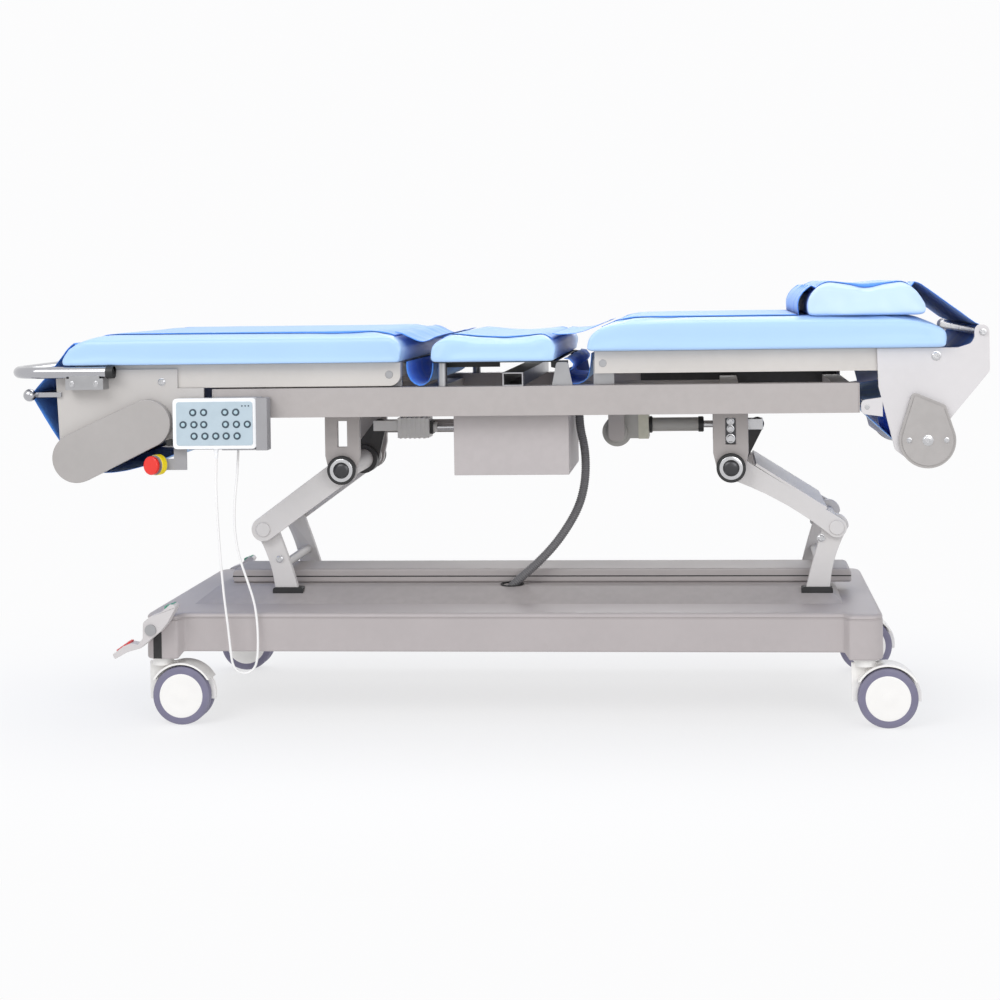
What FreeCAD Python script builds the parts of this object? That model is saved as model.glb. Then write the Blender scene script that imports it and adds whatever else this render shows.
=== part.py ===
"""Ultrasound examination table: three cushioned sections on a frame that two arm pairs lift.

Millimetres. +X is the head end, +Y the far side, +Z up. The origin is on the floor, at the middle
of the length and of the width.
"""
import FreeCAD, Part
import math
import os
import re
import Sketcher
from FreeCAD import Placement, Rotation, Vector

# Driving dimensions
SIZES = {
    # Main frame, welded of rectangular tube
    "frame_wide": 570,
    "frame_low": 656,
    "frame_head": 771,
    "frame_foot": 590,
    "rail_high": 62,
    "rail_thick": 40,
    "tube_wall": 3,
    "cross_size": 40,
    "cross_middle": 130,
    "cross_leg": -150,
    # Cushions
    "pad_wide": 650,
    "pad_round": 16,
    "pad_low_round": 5,
    "leg_pad_round": 52,
    "back_pad_round": 60,
    "leg_pad_foot": -922,
    "leg_pad_head": -168,
    "leg_pad_high": 61,
    "seat_pad_foot": -129,
    "seat_pad_head": 155,
    "seat_pad_high": 53,
    "back_pad_foot": 199,
    "back_pad_head": 963,
    "back_pad_high": 66,
    "pillow_foot": 657,
    "pillow_head": 925,
    "pillow_high": 71,
    "pillow_wide": 600,
    "soft_gap": 0.3,
    # Section frames
    "section_gap": 2,
    "section_tube": 30,
    "leg_rail_low": 721,
    "leg_rail_high": 48,
    "leg_rail_foot": -685,
    "leg_hinge_x": -211,
    "leg_hinge_z": 745,
    "back_rail_low": 743,
    "back_rail_high": 44,
    "back_rail_foot": 225,
    "back_rail_head": 945,
    "back_hinge_x": 242,
    "back_hinge_z": 764,
    "seat_hinge_x": 155,
    "seat_hinge_z": 762,
    "seat_pan_low": 768,
    "panel_thick": 2,
    "hinge_pin": 16,
    "hinge_ear": 8,
    "hinge_ear_wide": 44,
    "seat_tube_foot": 30,
    "seat_tube_long": 44,
    "seat_tube_high": 29,
    "seat_peg": 10,
    "seat_peg_x": -100,
    # Head side plates and what they carry
    "head_plate_thick": 8,
    "plate_top_x": 810,
    "plate_low_x": 844,
    "plate_low_z": 579,
    "hub_x": 909.5,
    "hub_z": 599.5,
    "hub_cover": 59,
    "hub_cover_thick": 12,
    "hub_tip_x": 970,
    "hub_tip_z": 668,
    "ear_x": 1024,
    "ear_z": 821,
    "ear_radius": 15,
    "supply_radius": 46,
    "guide_x": 788,
    "guide_z": 668,
    "guide_radius": 11,
    "top_roller_radius": 11,
    "roll_wide": 540,
    "axle": 10,
    # Foot side plates and what they carry
    "foot_plate_thick": 5,
    "foot_plate_top": 762,
    "foot_plate_x": -934,
    "nip_x": -884,
    "nip_z": 575,
    "nip_radius": 30,
    "belt_low_radius": 53,
    "belt_top_x": -730,
    "belt_top_z": 647,
    "belt_top_radius": 51,
    "belt_cover_thick": 18,
    "takeup_x": -660,
    "takeup_z": 641,
    "takeup_radius": 47,
    "bar_x": -986,
    "bar_z": 710,
    "bar_radius": 7,
    "bar_ball": 13.5,
    # Foot handle, emergency stop
    "handle_tube": 25,
    "handle_z": 758,
    "handle_foot": -1039,
    "handle_head": -810,
    "handle_gap": 24,
    "handle_bend": 70,
    "clamp_foot": -899,
    "clamp_head": -817,
    "stop_x": -714,
    "stop_y": -303,
    "stop_z": 559,
    "stop_cap": 40,
    "stop_collar": 42,
    "stop_tilt": 25,
    "stop_travel": 5,
    # Lift linkage
    "head_upper_x": 508,
    "upper_z": 531,
    "head_lower_x": 733,
    "foot_upper_x": -340,
    "foot_lower_x": -524,
    "lower_z": 398,
    "shaft": 30,
    "lower_shaft": 24,
    "arm_inside": 131,
    "arm_thick": 14,
    "arm_wide": 55,
    "arm_hub": 27,
    "torque_tube": 46,
    "strut_thick": 14,
    "strut_gap": 4,
    "strut_wide": 46,
    "strut_foot": 60,
    "hanger_wide": 76,
    "hanger_thick": 15,
    "hanger_gap": 4,
    "hanger_slot": 22,
    "hanger_ring": 31,
    "ring_thick": 8,
    "track_thick": 20,
    "track_gap": 3,
    "slide_pin": 20,
    # Actuators
    "lever_thick": 12,
    "lever_eye": 15,
    "head_tip_x": 570,
    "head_tip_z": 611,
    "foot_tip_x": -303,
    "foot_tip_z": 608,
    "foot_drive_y": 75,
    "head_drive_y": 0,
    "pin": 12,
    "cheek": 6,
    "cheek_gap": 0.5,
    "motor_x": 256,
    "motor_z": 598,
    "motor_radius": 33,
    "anchor_x": -108,
    "anchor_z": 603,
    "rod": 16,
    "drive_tube": 31,
    "foot_stroke": 44,
    # Electrics
    "box_foot": -83,
    "box_head": 164,
    "box_low": 525,
    "box_near": -230,
    "box_far": 35,
    "box_wall": 3,
    "handset_x": -580,
    "handset_z": 647,
    "handset_long": 180,
    "handset_high": 107,
    "handset_thick": 24,
    "handset_near": -316,
    "key": 14,
    "key_proud": 0.8,
    "conduit": 20,
    "conduit_x": 176,
    "conduit_y": -85,
    "handset_cord": 5,
    # Base and running gear
    "cover_foot": -731,
    "cover_head": 801,
    "cover_wide": 540,
    "cover_low": 156,
    "cover_top": 238,
    "cover_wall": 4,
    "pod_foot": -747,
    "pod_head": 817,
    "pod_long": 72,
    "pod_drop": 12,
    "pod_wide": 580,
    "platform_wide": 220,
    "platform_top": 265,
    "platform_slope": 60,
    "lid_wide": 116,
    "lid_top": 296,
    "lid_foot": -620,
    "lid_head": 770,
    "beam_wide": 50,
    "beam_high": 50,
    "beam_low": 180,
    "beam_half": 125,
    "wheel_radius": 62.5,
    "wheel_thick": 20,
    "wheel_outer": 25,
    "tread": 8,
    "trail": 45,
    "stem": 28,
    "caster_y": 255,
    "caster_foot": -717,
    "caster_head": 779,
    "head_strut_foot": 688,
    "foot_strut_foot": -472,
    "grommet_x": 21,
    "grommet_hole": 22,
    "pedal_y": 307,
    "pedal_wide": 28,
    "pedal_turn_x": -722,
    "pedal_turn_z": 212,
    # Running fits
    "run_fit": 0.05,
}

# Widths that follow from others
DERIVED = {
    "section_wide": "=frame_wide - 2 * section_gap",
    "handle_half": "=section_wide / 2 + foot_plate_thick + handle_gap",
}
ALIASES = {**SIZES, **DERIVED}

doc = FreeCAD.newDocument("ExaminationTable")
sheet = doc.addObject("Spreadsheet::Sheet", "Sizes")
for row, (alias, number) in enumerate(ALIASES.items(), 1):
    sheet.set(f"A{row}", alias)
    sheet.set(f"B{row}", str(number))
    sheet.setAlias(f"B{row}", alias)
doc.recompute()

NODES = []
ALONG_Y = Rotation(Vector(1, 0, 0), -90)
ALONG_X = Rotation(Vector(0, 1, 0), 90)


def size(alias):
    return float(getattr(sheet, alias))


def cell(text):
    """An expression with each alias pointed at the sheet."""
    def point(match):
        word = match.group()
        return "Sizes." + word if word in ALIASES else word
    return re.sub(r"[a-z][a-z_0-9]*", point, str(text))


def bind(thing, **sizes):
    for name, text in sizes.items():
        thing.setExpression(name.replace("__", "."), cell(text))
    return thing


def place(thing, x=0, y=0, z=0, turn=None):
    """Sets a placement whose three distances follow the sheet."""
    thing.Placement = Placement(Vector(), turn or Rotation())
    return bind(thing, Placement__Base__x=x, Placement__Base__y=y, Placement__Base__z=z)


def node(label, thing):
    """Names the finished piece, which is then written under that name."""
    thing.Label = label
    NODES.append(thing)
    return thing


def box(x, y, z, long, wide, high):
    block = doc.addObject("Part::Box", "Block")
    bind(block, Length=long, Width=wide, Height=high)
    return place(block, x, y, z)


def cylinder(x, y, z, radius, length, turn=None):
    round_bar = doc.addObject("Part::Cylinder", "Round")
    bind(round_bar, Radius=radius, Height=length)
    return place(round_bar, x, y, z, turn)


def pin_y(x, z, radius, y, length):
    """A round bar along Y from y to y + length."""
    return cylinder(x, y, z, radius, length, ALONG_Y)


def fuse(*things):
    joined = doc.addObject("Part::MultiFuse", "Joined")
    joined.Shapes = list(things)
    joined.Refine = True
    return joined


def group(*things):
    """Separate solids that share one node."""
    kept = doc.addObject("Part::Compound", "Group")
    kept.Links = list(things)
    return kept


def cut(base, *tools):
    for tool in tools:
        less = doc.addObject("Part::Cut", "Less")
        less.Base = base
        less.Tool = tool
        base = less
    return base


def mirror(thing, normal=Vector(0, 1, 0)):
    twin = doc.addObject("Part::Mirroring", "Twin")
    twin.Source = thing
    twin.Normal = normal
    return twin


def pair(thing):
    """The near piece and its twin on the far side."""
    return group(thing, mirror(thing))


def plate(corners, thick, middle, rounds=()):
    """A flat plate across Y: a sketched outline in X and Z, padded both ways from its middle.

    rounds lists (corner numbers, radius).
    """
    body = doc.addObject("PartDesign::Body", "Plate")
    sketch = body.newObject("Sketcher::SketchObject", "Outline")
    upright = [flat for flat in body.Origin.OriginFeatures if flat.Role == "XZ_Plane"][0]
    sketch.AttachmentSupport = (upright, "")
    sketch.MapMode = "FlatFace"
    count = len(corners)
    ring = [Vector(math.cos(math.tau * k / count), math.sin(math.tau * k / count), 0)
            for k in range(count)]
    for k in range(count):
        sketch.addGeometry(Part.LineSegment(ring[k], ring[(k + 1) % count]), False)
    for k in range(count):
        sketch.addConstraint(Sketcher.Constraint("Coincident", k, 2, (k + 1) % count, 1))
    for k, (x, z) in enumerate(corners):
        for way, text in (("DistanceX", x), ("DistanceY", z)):
            index = sketch.addConstraint(Sketcher.Constraint(way, -1, 1, k, 1, 1.0))
            sketch.setExpression(f"Constraints[{index}]", cell(text))
    pad = body.newObject("PartDesign::Pad", "Thickness")
    pad.Profile = sketch
    pad.Midplane = True
    bind(pad, Length=thick)
    bind(body, Placement__Base__y=middle)
    doc.recompute()
    spots = [line.StartPoint for line in sketch.Geometry]
    last = pad
    for numbers, radius in rounds:
        names = []
        for number, edge in enumerate(last.Shape.Edges, 1):
            ends = [edge.Vertexes[0].Point, edge.Vertexes[-1].Point]
            for k in numbers:
                away = max(math.hypot(end.x - spots[k].x, end.z - spots[k].y) for end in ends)
                if away < 0.001:
                    names.append(f"Edge{number}")
        fillet = body.newObject("PartDesign::Fillet", "Corner")
        fillet.Base = (last, names)
        bind(fillet, Radius=radius)
        doc.recompute()
        last = fillet
    return body


def solid_of(shape, x=0, y=0, z=0):
    """A piece whose outline has arcs, made straight from its shape."""
    piece = doc.addObject("Part::Feature", "Shaped")
    piece.Shape = shape
    piece.Placement = Placement(Vector(x, y, z), Rotation())
    return piece


def face_of(edges):
    return Part.Face(Part.Wire(edges))


def line(a, b):
    return Part.LineSegment(a, b).toShape()


def arc(a, middle, b):
    return Part.Arc(a, middle, b).toShape()


def tube_along(x, y, z, long, wide, high):
    """A square or flat tube along X with open ends."""
    outer = box(x, y, z, long, wide, high)
    inner = box(x, f"({y}) + tube_wall", f"({z}) + tube_wall", long,
                f"({wide}) - 2 * tube_wall", f"({high}) - 2 * tube_wall")
    return cut(outer, inner)


def cross_tube(x, z, size_x, size_z, half):
    """A tube across the table, open at its ends, between two rails."""
    outer = box(f"({x}) - ({size_x}) / 2", f"-({half})", z, size_x, f"2 * ({half})", size_z)
    inner = box(f"({x}) - ({size_x}) / 2 + tube_wall", f"-({half})", f"({z}) + tube_wall",
                f"({size_x}) - 2 * tube_wall", f"2 * ({half})", f"({size_z}) - 2 * tube_wall")
    return cut(outer, inner)


def two_circles(ax, az, ar, bx, bz, br):
    """The outline of a belt round two circles in X and Z."""
    apart = math.hypot(bx - ax, bz - az)
    heading = math.atan2(bz - az, bx - ax)
    lean = math.acos((ar - br) / apart)

    def rim(x, z, radius, angle):
        return Vector(x + radius * math.cos(angle), 0, z + radius * math.sin(angle))
    top_a, top_b = rim(ax, az, ar, heading + lean), rim(bx, bz, br, heading + lean)
    low_a, low_b = rim(ax, az, ar, heading - lean), rim(bx, bz, br, heading - lean)
    return face_of([line(top_a, top_b), arc(top_b, rim(bx, bz, br, heading), low_b),
                    line(low_b, low_a), arc(low_a, rim(ax, az, ar, heading + math.pi), top_a)])


def slab(face, y, thick):
    """A plate of that outline from y to y + thick."""
    return solid_of(face.extrude(Vector(0, thick, 0)), y=y)


# Main frame and what is fixed to it
FRAME_INSIDE = "frame_wide / 2 - rail_thick"
CROSS_LOW = "frame_low + (rail_high - cross_size) / 2"
FRAME_TOP = "frame_low + rail_high"
SLIDE_Z = "frame_low + rail_high / 2"
HANGER_NEAR = "arm_inside + arm_thick + hanger_gap"
TRACK_NEAR = "arm_inside + arm_thick + hanger_gap + hanger_thick + track_gap"
SECTION_INSIDE = "section_wide / 2 - section_tube"
EAR_MIDDLE = "-(section_wide / 2 - section_tube - cheek_gap - hinge_ear / 2)"


def main_frame():
    rail = tube_along("-frame_foot", "-frame_wide / 2", "frame_low",
                      "frame_head + frame_foot", "rail_thick", "rail_high")
    places = ("-frame_foot + cross_size / 2", "cross_leg", "cross_middle", "head_upper_x",
              "frame_head - cross_size / 2")
    crosses = [cross_tube(x, CROSS_LOW, "cross_size", "cross_size", FRAME_INSIDE)
               for x in places]
    track = box("-frame_foot + cross_size", f"-({TRACK_NEAR}) - track_thick", "frame_low + tube_wall",
                "cross_leg + frame_foot - 1.5 * cross_size", "track_thick",
                "rail_high - 2 * tube_wall")
    slot = box("-frame_foot + cross_size + tube_wall", f"-({TRACK_NEAR}) - track_thick + tube_wall",
               f"{SLIDE_Z} - 0.9 * slide_pin",
               "cross_leg + frame_foot - 1.5 * cross_size - 2 * tube_wall",
               "track_thick", "1.8 * slide_pin")
    channel = cut(track, slot)
    node("main_frame", fuse(rail, mirror(rail), channel, mirror(channel), *crosses,
                            *head_drive_bracket()))


def frame_caps():
    """Plastic plugs in the open ends of the main rails."""
    caps = []
    for x in ("frame_head", "-frame_foot - tube_wall"):
        cap = box(x, "-frame_wide / 2", "frame_low", "tube_wall", "rail_thick", "rail_high")
        caps += [cap, mirror(cap)]
    node("frame_caps", group(*caps))


def hinge_ear(x, z):
    """An ear that stands on the main rail, with the pin that a section turns on."""
    half = "hinge_ear_wide / 2"
    ear = plate([(f"{x} - {half}", FRAME_TOP), (f"{x} + {half}", FRAME_TOP),
                 (f"{x} + {half}", f"{z} + hinge_pin"), (f"{x} - {half}", f"{z} + hinge_pin")],
                "hinge_ear", EAR_MIDDLE, [((2, 3), "hinge_pin - 1")])
    hinge = pin_y(x, z, "hinge_pin / 2", "-section_wide / 2",
                  "section_tube + cheek_gap + hinge_ear")
    return fuse(ear, hinge)


def section_hinges():
    ears = [hinge_ear("leg_hinge_x", "leg_hinge_z"), hinge_ear("back_hinge_x", "back_hinge_z")]
    node("section_hinges", group(*ears, *[mirror(ear) for ear in ears]))


SEAT_EAR_Y = "-(frame_wide / 2 - rail_thick / 2)"


def seat_supports():
    """The square tube across the rails, the seat's hinge ears and the pegs it rests on."""
    cross = cross_tube("seat_tube_foot + seat_tube_long / 2", FRAME_TOP, "seat_tube_long",
                       "seat_tube_high", "section_wide / 2")
    ear = plate([("seat_hinge_x - hinge_ear_wide / 2", FRAME_TOP),
                 ("seat_hinge_x + hinge_ear_wide / 2", FRAME_TOP),
                 ("seat_hinge_x + pin", "seat_hinge_z + pin / 2 - 1"),
                 ("seat_hinge_x - pin", "seat_hinge_z + pin / 2 - 1")],
                "hinge_ear", SEAT_EAR_Y, [((2, 3), "pin / 2 - 1")])
    turn = pin_y("seat_hinge_x", "seat_hinge_z", "pin / 2 - 1.5", f"{SEAT_EAR_Y} - hinge_ear / 2",
                 "2 * hinge_ear + cheek_gap")
    ear_pin = fuse(ear, turn)
    peg = cylinder("seat_peg_x", SEAT_EAR_Y, FRAME_TOP, "seat_peg",
                   f"seat_pan_low - soft_gap - ({FRAME_TOP})")
    node("seat_supports", group(cross, ear_pin, mirror(ear_pin), peg, mirror(peg)))


def hanger_plate(x, top):
    half, ring = "hanger_wide / 2", "hanger_ring"
    body = plate([(f"{x} - {half}", top), (f"{x} + {half}", top),
                  (f"{x} + {half}", f"upper_z + {ring}"), (f"{x} + {ring}", "upper_z"),
                  (f"{x} + {ring}", f"upper_z - {ring}"), (f"{x} - {ring}", f"upper_z - {ring}"),
                  (f"{x} - {ring}", "upper_z"), (f"{x} - {half}", f"upper_z + {ring}")],
                 "hanger_thick", f"-({HANGER_NEAR}) - hanger_thick / 2",
                 [((4, 5), "hanger_ring - 0.5")])
    window = box(f"{x} - hanger_slot / 2", f"-({HANGER_NEAR}) - 2 * hanger_thick",
                 "upper_z + 1.6 * hanger_ring", "hanger_slot", "3 * hanger_thick",
                 "2.6 * hanger_slot")
    return cut(body, window)


def end_shaft(x):
    """A shaft fixed in its two hangers, with a stepped ring on each end."""
    bore_end = f"{HANGER_NEAR} + hanger_thick"
    shaft = pin_y(x, "upper_z", "shaft / 2", f"-({bore_end})", f"2 * ({bore_end})")
    ring = pin_y(x, "upper_z", "hanger_ring", f"-({bore_end}) - ring_thick", "ring_thick")
    nose = pin_y(x, "upper_z", "shaft / 2", f"-({bore_end}) - 1.5 * ring_thick", "ring_thick")
    return fuse(shaft, ring, mirror(ring), nose, mirror(nose))


def bored(thing, x, radius):
    """The same piece with a round hole right across the table at x, at the upper shafts' height."""
    return cut(thing, pin_y(x, "upper_z", radius, "-frame_wide / 2", "frame_wide"))


def head_hangers():
    hanger = hanger_plate("head_upper_x", CROSS_LOW)
    node("head_hangers", bored(pair(hanger), "head_upper_x", "shaft / 2"))
    node("head_upper_shaft", end_shaft("head_upper_x"))


def control_box():
    high = f"{CROSS_LOW} - box_low"
    tray = cut(box("box_foot", "box_near", "box_low", "box_head - box_foot",
                   "box_far - box_near", high),
               box("box_foot + box_wall", "box_near + box_wall", "box_low + box_wall",
                   "box_head - box_foot - 2 * box_wall", "box_far - box_near - 2 * box_wall", high))
    node("control_box", tray)
    unit = box("box_foot + 6 * box_wall", "box_near + 6 * box_wall", "box_low + box_wall",
               "box_head - box_foot - 12 * box_wall", "box_far - box_near - 12 * box_wall",
               "hanger_wide")
    node("control_unit", unit)


HANDSET_LOW = "handset_z - handset_high / 2"
HANDSET_HEAD = "handset_x + handset_long / 2"


def handset_parts():
    """The handset with its printed keys, and the pocket that it lifts out of."""
    shell = plate([("handset_x - handset_long / 2", HANDSET_LOW), (HANDSET_HEAD, HANDSET_LOW),
                   (HANDSET_HEAD, f"{HANDSET_LOW} + handset_high"),
                   ("handset_x - handset_long / 2", f"{HANDSET_LOW} + handset_high")],
                  "handset_thick", "handset_near + handset_thick / 2", [((0, 1, 2, 3), 12)])
    step = "(1.55 * key)"
    keys = []
    for row, columns in ((0, (-1.5, -0.5, 1.5, 2.5)), (1, (-2.5, -1.5, -0.5, 1.5, 2.5)),
                         (2, (-1.5, -0.5, 0.5, 1.5))):
        for column in columns:
            keys.append(pin_y(f"handset_x + {column} * {step}",
                              f"handset_z + {1 - row} * {step}", "key / 2",
                              "handset_near - key_proud", "2 * key_proud"))
    node("handset", fuse(shell, *keys))
    back_y = "handset_near + handset_thick + soft_gap"
    back = box("handset_x - 0.35 * handset_long", back_y, f"{HANDSET_LOW} - soft_gap - box_wall",
               "0.85 * handset_long + 2 * box_wall + soft_gap", "box_wall",
               "handset_high + box_wall + soft_gap")
    shelf = box("handset_x + 3 * handset_cord", "handset_near + 4",
                f"{HANDSET_LOW} - soft_gap - box_wall",
                "0.5 * handset_long - 3 * handset_cord + 2 * box_wall + soft_gap",
                "handset_thick + soft_gap", "box_wall")
    side = box(f"{HANDSET_HEAD} + soft_gap", "handset_near - box_wall",
               f"{HANDSET_LOW} - soft_gap - box_wall",
               "8 * box_wall", "handset_thick + 2 * box_wall + soft_gap",
               "handset_high + box_wall + soft_gap")
    arm = box("-frame_foot + 2 * tube_wall", f"{back_y} + box_wall", "frame_low + 2 * tube_wall",
              "frame_foot + handset_x + 0.5 * handset_long", f"-frame_wide / 2 - ({back_y}) - box_wall",
              "cross_size")
    node("handset_holder", fuse(back, shelf, side, arm))


# Lift linkage
STRUT_NEAR = "arm_inside - strut_gap - strut_thick"


def lower_hole(x):
    return pin_y(x, "lower_z", "lower_shaft / 2 + run_fit", "-frame_wide / 2", "frame_wide")


def upper_hole(x):
    return pin_y(x, "upper_z", "shaft / 2 + run_fit", "-frame_wide / 2", "frame_wide")


def head_lift_arms():
    """Two bowed arms with a flange across their backs, on a torque tube round the upper shaft."""
    top = Vector(size("head_upper_x"), 0, size("upper_z"))
    low = Vector(size("head_lower_x"), 0, size("lower_z"))
    along = (low - top).normalize()
    across = Vector(-along.z, 0, along.x)
    if across.z < 0:
        across = -across
    half = size("arm_wide") / 2
    end = size("lower_shaft") * 0.9
    middle = (top + low) / 2
    back_top, back_low = top + across * half, low + across * end
    belly = middle - across * (half * 0.45)
    outline = face_of([
        line(back_top, back_low), arc(back_low, low + along * end, low - across * end),
        arc(low - across * end, belly, top - across * half),
        arc(top - across * half, top - along * half, back_top)])
    inside, thick = size("arm_inside"), size("arm_thick")
    arm = slab(outline, -inside - thick, thick)
    lift = across * size("tube_wall")
    start, finish = back_top + along * (1.6 * half), back_low - along * (1.4 * half)
    flange_face = face_of([line(start, finish), line(finish, finish + lift * 2),
                           line(finish + lift * 2, start + lift * 2),
                           line(start + lift * 2, start)])
    flange = slab(flange_face, -inside - thick, 2 * (inside + thick))
    tube = pin_y("head_upper_x", "upper_z", "torque_tube / 2", "-arm_inside", "2 * arm_inside")
    whole = fuse(arm, mirror(arm), flange, tube)
    node("head_lift_arms", cut(whole, lower_hole("head_lower_x"), upper_hole("head_upper_x")))


def foot_lift_arms():
    """Two straight arms on a torque tube round the upper shaft."""
    outline = two_circles(size("foot_lower_x"), size("lower_z"), size("arm_wide") / 2 - 1,
                          size("foot_upper_x"), size("upper_z"), size("arm_wide") / 2)
    arm = slab(outline, -size("arm_inside") - size("arm_thick"), size("arm_thick"))
    tube = pin_y("foot_upper_x", "upper_z", "torque_tube / 2", "-arm_inside", "2 * arm_inside")
    whole = fuse(arm, mirror(arm), tube)
    node("foot_lift_arms", cut(whole, lower_hole("foot_lower_x"), upper_hole("foot_upper_x")))


def lever(label, x, tip_x, tip_z, y):
    """A crank that is clamped round the torque tube, with the drive's pin in its eye."""
    outline = two_circles(size(x), size("upper_z"), size("torque_tube") / 2 + 10,
                          size(tip_x), size(tip_z), size("lever_eye"))
    arm = slab(outline, size(y) - size("lever_thick") / 2, size("lever_thick"))
    clamp = pin_y(x, "upper_z", "torque_tube / 2 + 10", f"{y} - 1.5 * lever_thick",
                  "3 * lever_thick")
    crank_pin = pin_y(tip_x, tip_z, "pin / 2", f"{y} - lever_thick", "2 * lever_thick")
    bore = pin_y(x, "upper_z", "torque_tube / 2", "-arm_inside", "2 * arm_inside")
    node(label, cut(fuse(arm, clamp, crank_pin), bore))


def foot_hanger():
    """The foot hangers: a carriage whose pins slide in the frame's two tracks."""
    hanger = bored(hanger_plate("foot_upper_x", f"{SLIDE_Z} + slide_pin / 2"),
                   "foot_upper_x", "shaft / 2")
    slide = pin_y("foot_upper_x", SLIDE_Z, "slide_pin / 2",
                  f"-({TRACK_NEAR}) - 0.7 * track_thick",
                  "track_gap + 0.7 * track_thick + hanger_thick / 2")
    bridge = box("foot_upper_x - hanger_ring", f"-({HANGER_NEAR})", "frame_low - hanger_thick",
                 "2 * hanger_ring", f"2 * ({HANGER_NEAR})", "lever_thick")
    drop = "foot_drive_y + 2.5 * lever_thick"
    beam = plate([("foot_upper_x - hanger_ring", "frame_low - hanger_thick"),
                  ("foot_upper_x - hanger_ring", "anchor_z - hanger_thick"),
                  ("anchor_x + lever_eye", "anchor_z - hanger_thick"),
                  ("anchor_x + lever_eye", "anchor_z + hanger_thick"),
                  ("foot_upper_x + hanger_ring", "anchor_z + hanger_thick"),
                  ("foot_upper_x + hanger_ring", "frame_low - hanger_thick")],
                 "hinge_ear", f"{drop} + hinge_ear / 2", [((2, 3), 12)])
    anchor = pin_y("anchor_x", "anchor_z", "pin / 2", "foot_drive_y - lever_thick",
                   f"{drop} - foot_drive_y + lever_thick")
    side = fuse(hanger, slide)
    node("foot_hanger", fuse(side, mirror(side), bridge, beam, anchor))
    node("foot_upper_shaft", end_shaft("foot_upper_x"))


# Drives
CHEEK_OUT = "lever_thick + cheek_gap"


def clevis(x, z, y, back):
    """Two cheeks beside a lever's pin and the bridge behind them; back is the way to the drive."""
    reach = "lever_eye + 2.6 * pin"
    low_x = f"{x} - pin" if back > 0 else f"{x} - ({reach}) - pin"
    near = box(low_x, f"{y} - ({CHEEK_OUT}) - cheek", f"{z} - pin", f"{reach} + 2 * pin", "cheek",
               "2 * pin")
    far = box(low_x, f"{y} + {CHEEK_OUT}", f"{z} - pin", f"{reach} + 2 * pin", "cheek", "2 * pin")
    bridge_x = f"{x} + {reach}" if back > 0 else f"{x} - ({reach}) - pin"
    bridge = box(bridge_x, f"{y} - ({CHEEK_OUT}) - cheek", f"{z} - pin", "pin",
                 f"2 * ({CHEEK_OUT} + cheek)", "2 * pin")
    return fuse(near, far, bridge)


def head_drive():
    """The actuator between the frame and the head crank: motor, gearbox, tube and rod."""
    tube_z = "head_tip_z"
    motor = pin_y("motor_x", "motor_z", "motor_radius", "-motor_radius", "2 * motor_radius")
    cap = pin_y("motor_x", "motor_z", "motor_radius / 2", "-1.25 * motor_radius", "motor_radius")
    gearbox = box("motor_x", "-1.1 * drive_tube", f"{tube_z} - 0.9 * drive_tube",
                  "motor_radius + 1.2 * drive_tube", "2.2 * drive_tube", "1.8 * drive_tube")
    tube = cylinder("motor_x + motor_radius + drive_tube", 0, tube_z, "drive_tube / 2",
                    "head_tip_x - motor_x - motor_radius - drive_tube - 3.9 * drive_tube", ALONG_X)
    bore = cylinder("motor_x + motor_radius", 0, tube_z, "rod / 2 + run_fit",
                    "head_tip_x - motor_x", ALONG_X)
    hinge = pin_y("motor_x", "motor_z", "pin / 2 + run_fit", "-2 * motor_radius",
                  "4 * motor_radius")
    node("head_actuator", cut(fuse(motor, cap, gearbox, tube), bore, hinge))
    rod_bar = cylinder("motor_x + motor_radius + drive_tube * 2", 0, tube_z, "rod / 2",
                       "head_tip_x - lever_eye - 2.6 * pin - motor_x - motor_radius"
                       " - drive_tube * 2", ALONG_X)
    node("head_actuator_rod", fuse(rod_bar, clevis("head_tip_x", tube_z, 0, -1)))


def head_drive_bracket():
    """Two lugs under the frame that hold the head actuator's rear pin."""
    half = "1.5 * motor_radius"
    lug = plate([("motor_x - 1.5 * pin", "motor_z - 1.5 * pin"),
                 ("motor_x + 1.5 * pin", "motor_z - 1.5 * pin"),
                 ("motor_x + 1.5 * pin", CROSS_LOW), ("motor_x - 1.5 * pin", CROSS_LOW)],
                "hinge_ear", f"-({half}) - hinge_ear / 2", [((0, 1), "pin")])
    beam = box("cross_middle + cross_size / 2", f"-({half}) - hinge_ear", CROSS_LOW,
               "head_upper_x - cross_middle - cross_size", "hinge_ear", "cross_size")
    rear_pin = pin_y("motor_x", "motor_z", "pin / 2", f"-({half})", f"2 * ({half})")
    side = fuse(lug, beam)
    return side, mirror(side), rear_pin


def foot_drive():
    """The actuator between the foot hanger and the foot crank: its rod end is the fixed one."""
    y, z = "foot_drive_y", "anchor_z"
    start = "foot_tip_x + lever_eye + 2.6 * pin"
    tube_start = "anchor_x - foot_stroke - drive_tube"
    eye = pin_y("anchor_x", z, "pin", f"{y} - lever_thick", "2 * lever_thick")
    rod_bar = cylinder(f"{start} + pin + foot_stroke", y, z, "rod / 2",
                       f"anchor_x - ({start}) - pin - foot_stroke", ALONG_X)
    hole = pin_y("anchor_x", z, "pin / 2 + run_fit", f"{y} - 2 * lever_thick",
                 "4 * lever_thick")
    node("foot_actuator_rod", cut(fuse(eye, rod_bar), hole))
    body = box(start, f"{y} - 0.85 * drive_tube", f"{z} - 0.75 * drive_tube",
               f"{tube_start} - ({start})", "1.7 * drive_tube", "1.5 * drive_tube")
    sleeve = cylinder(tube_start, y, z, "rod / 2 + tube_wall", "drive_tube / 2", ALONG_X)
    bore = cylinder(f"{start} + pin", y, z, "rod / 2 + run_fit", "frame_foot", ALONG_X)
    fork = clevis("foot_tip_x", "foot_tip_z", y, 1)
    node("foot_actuator", cut(fuse(body, sleeve, fork), bore))


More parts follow.
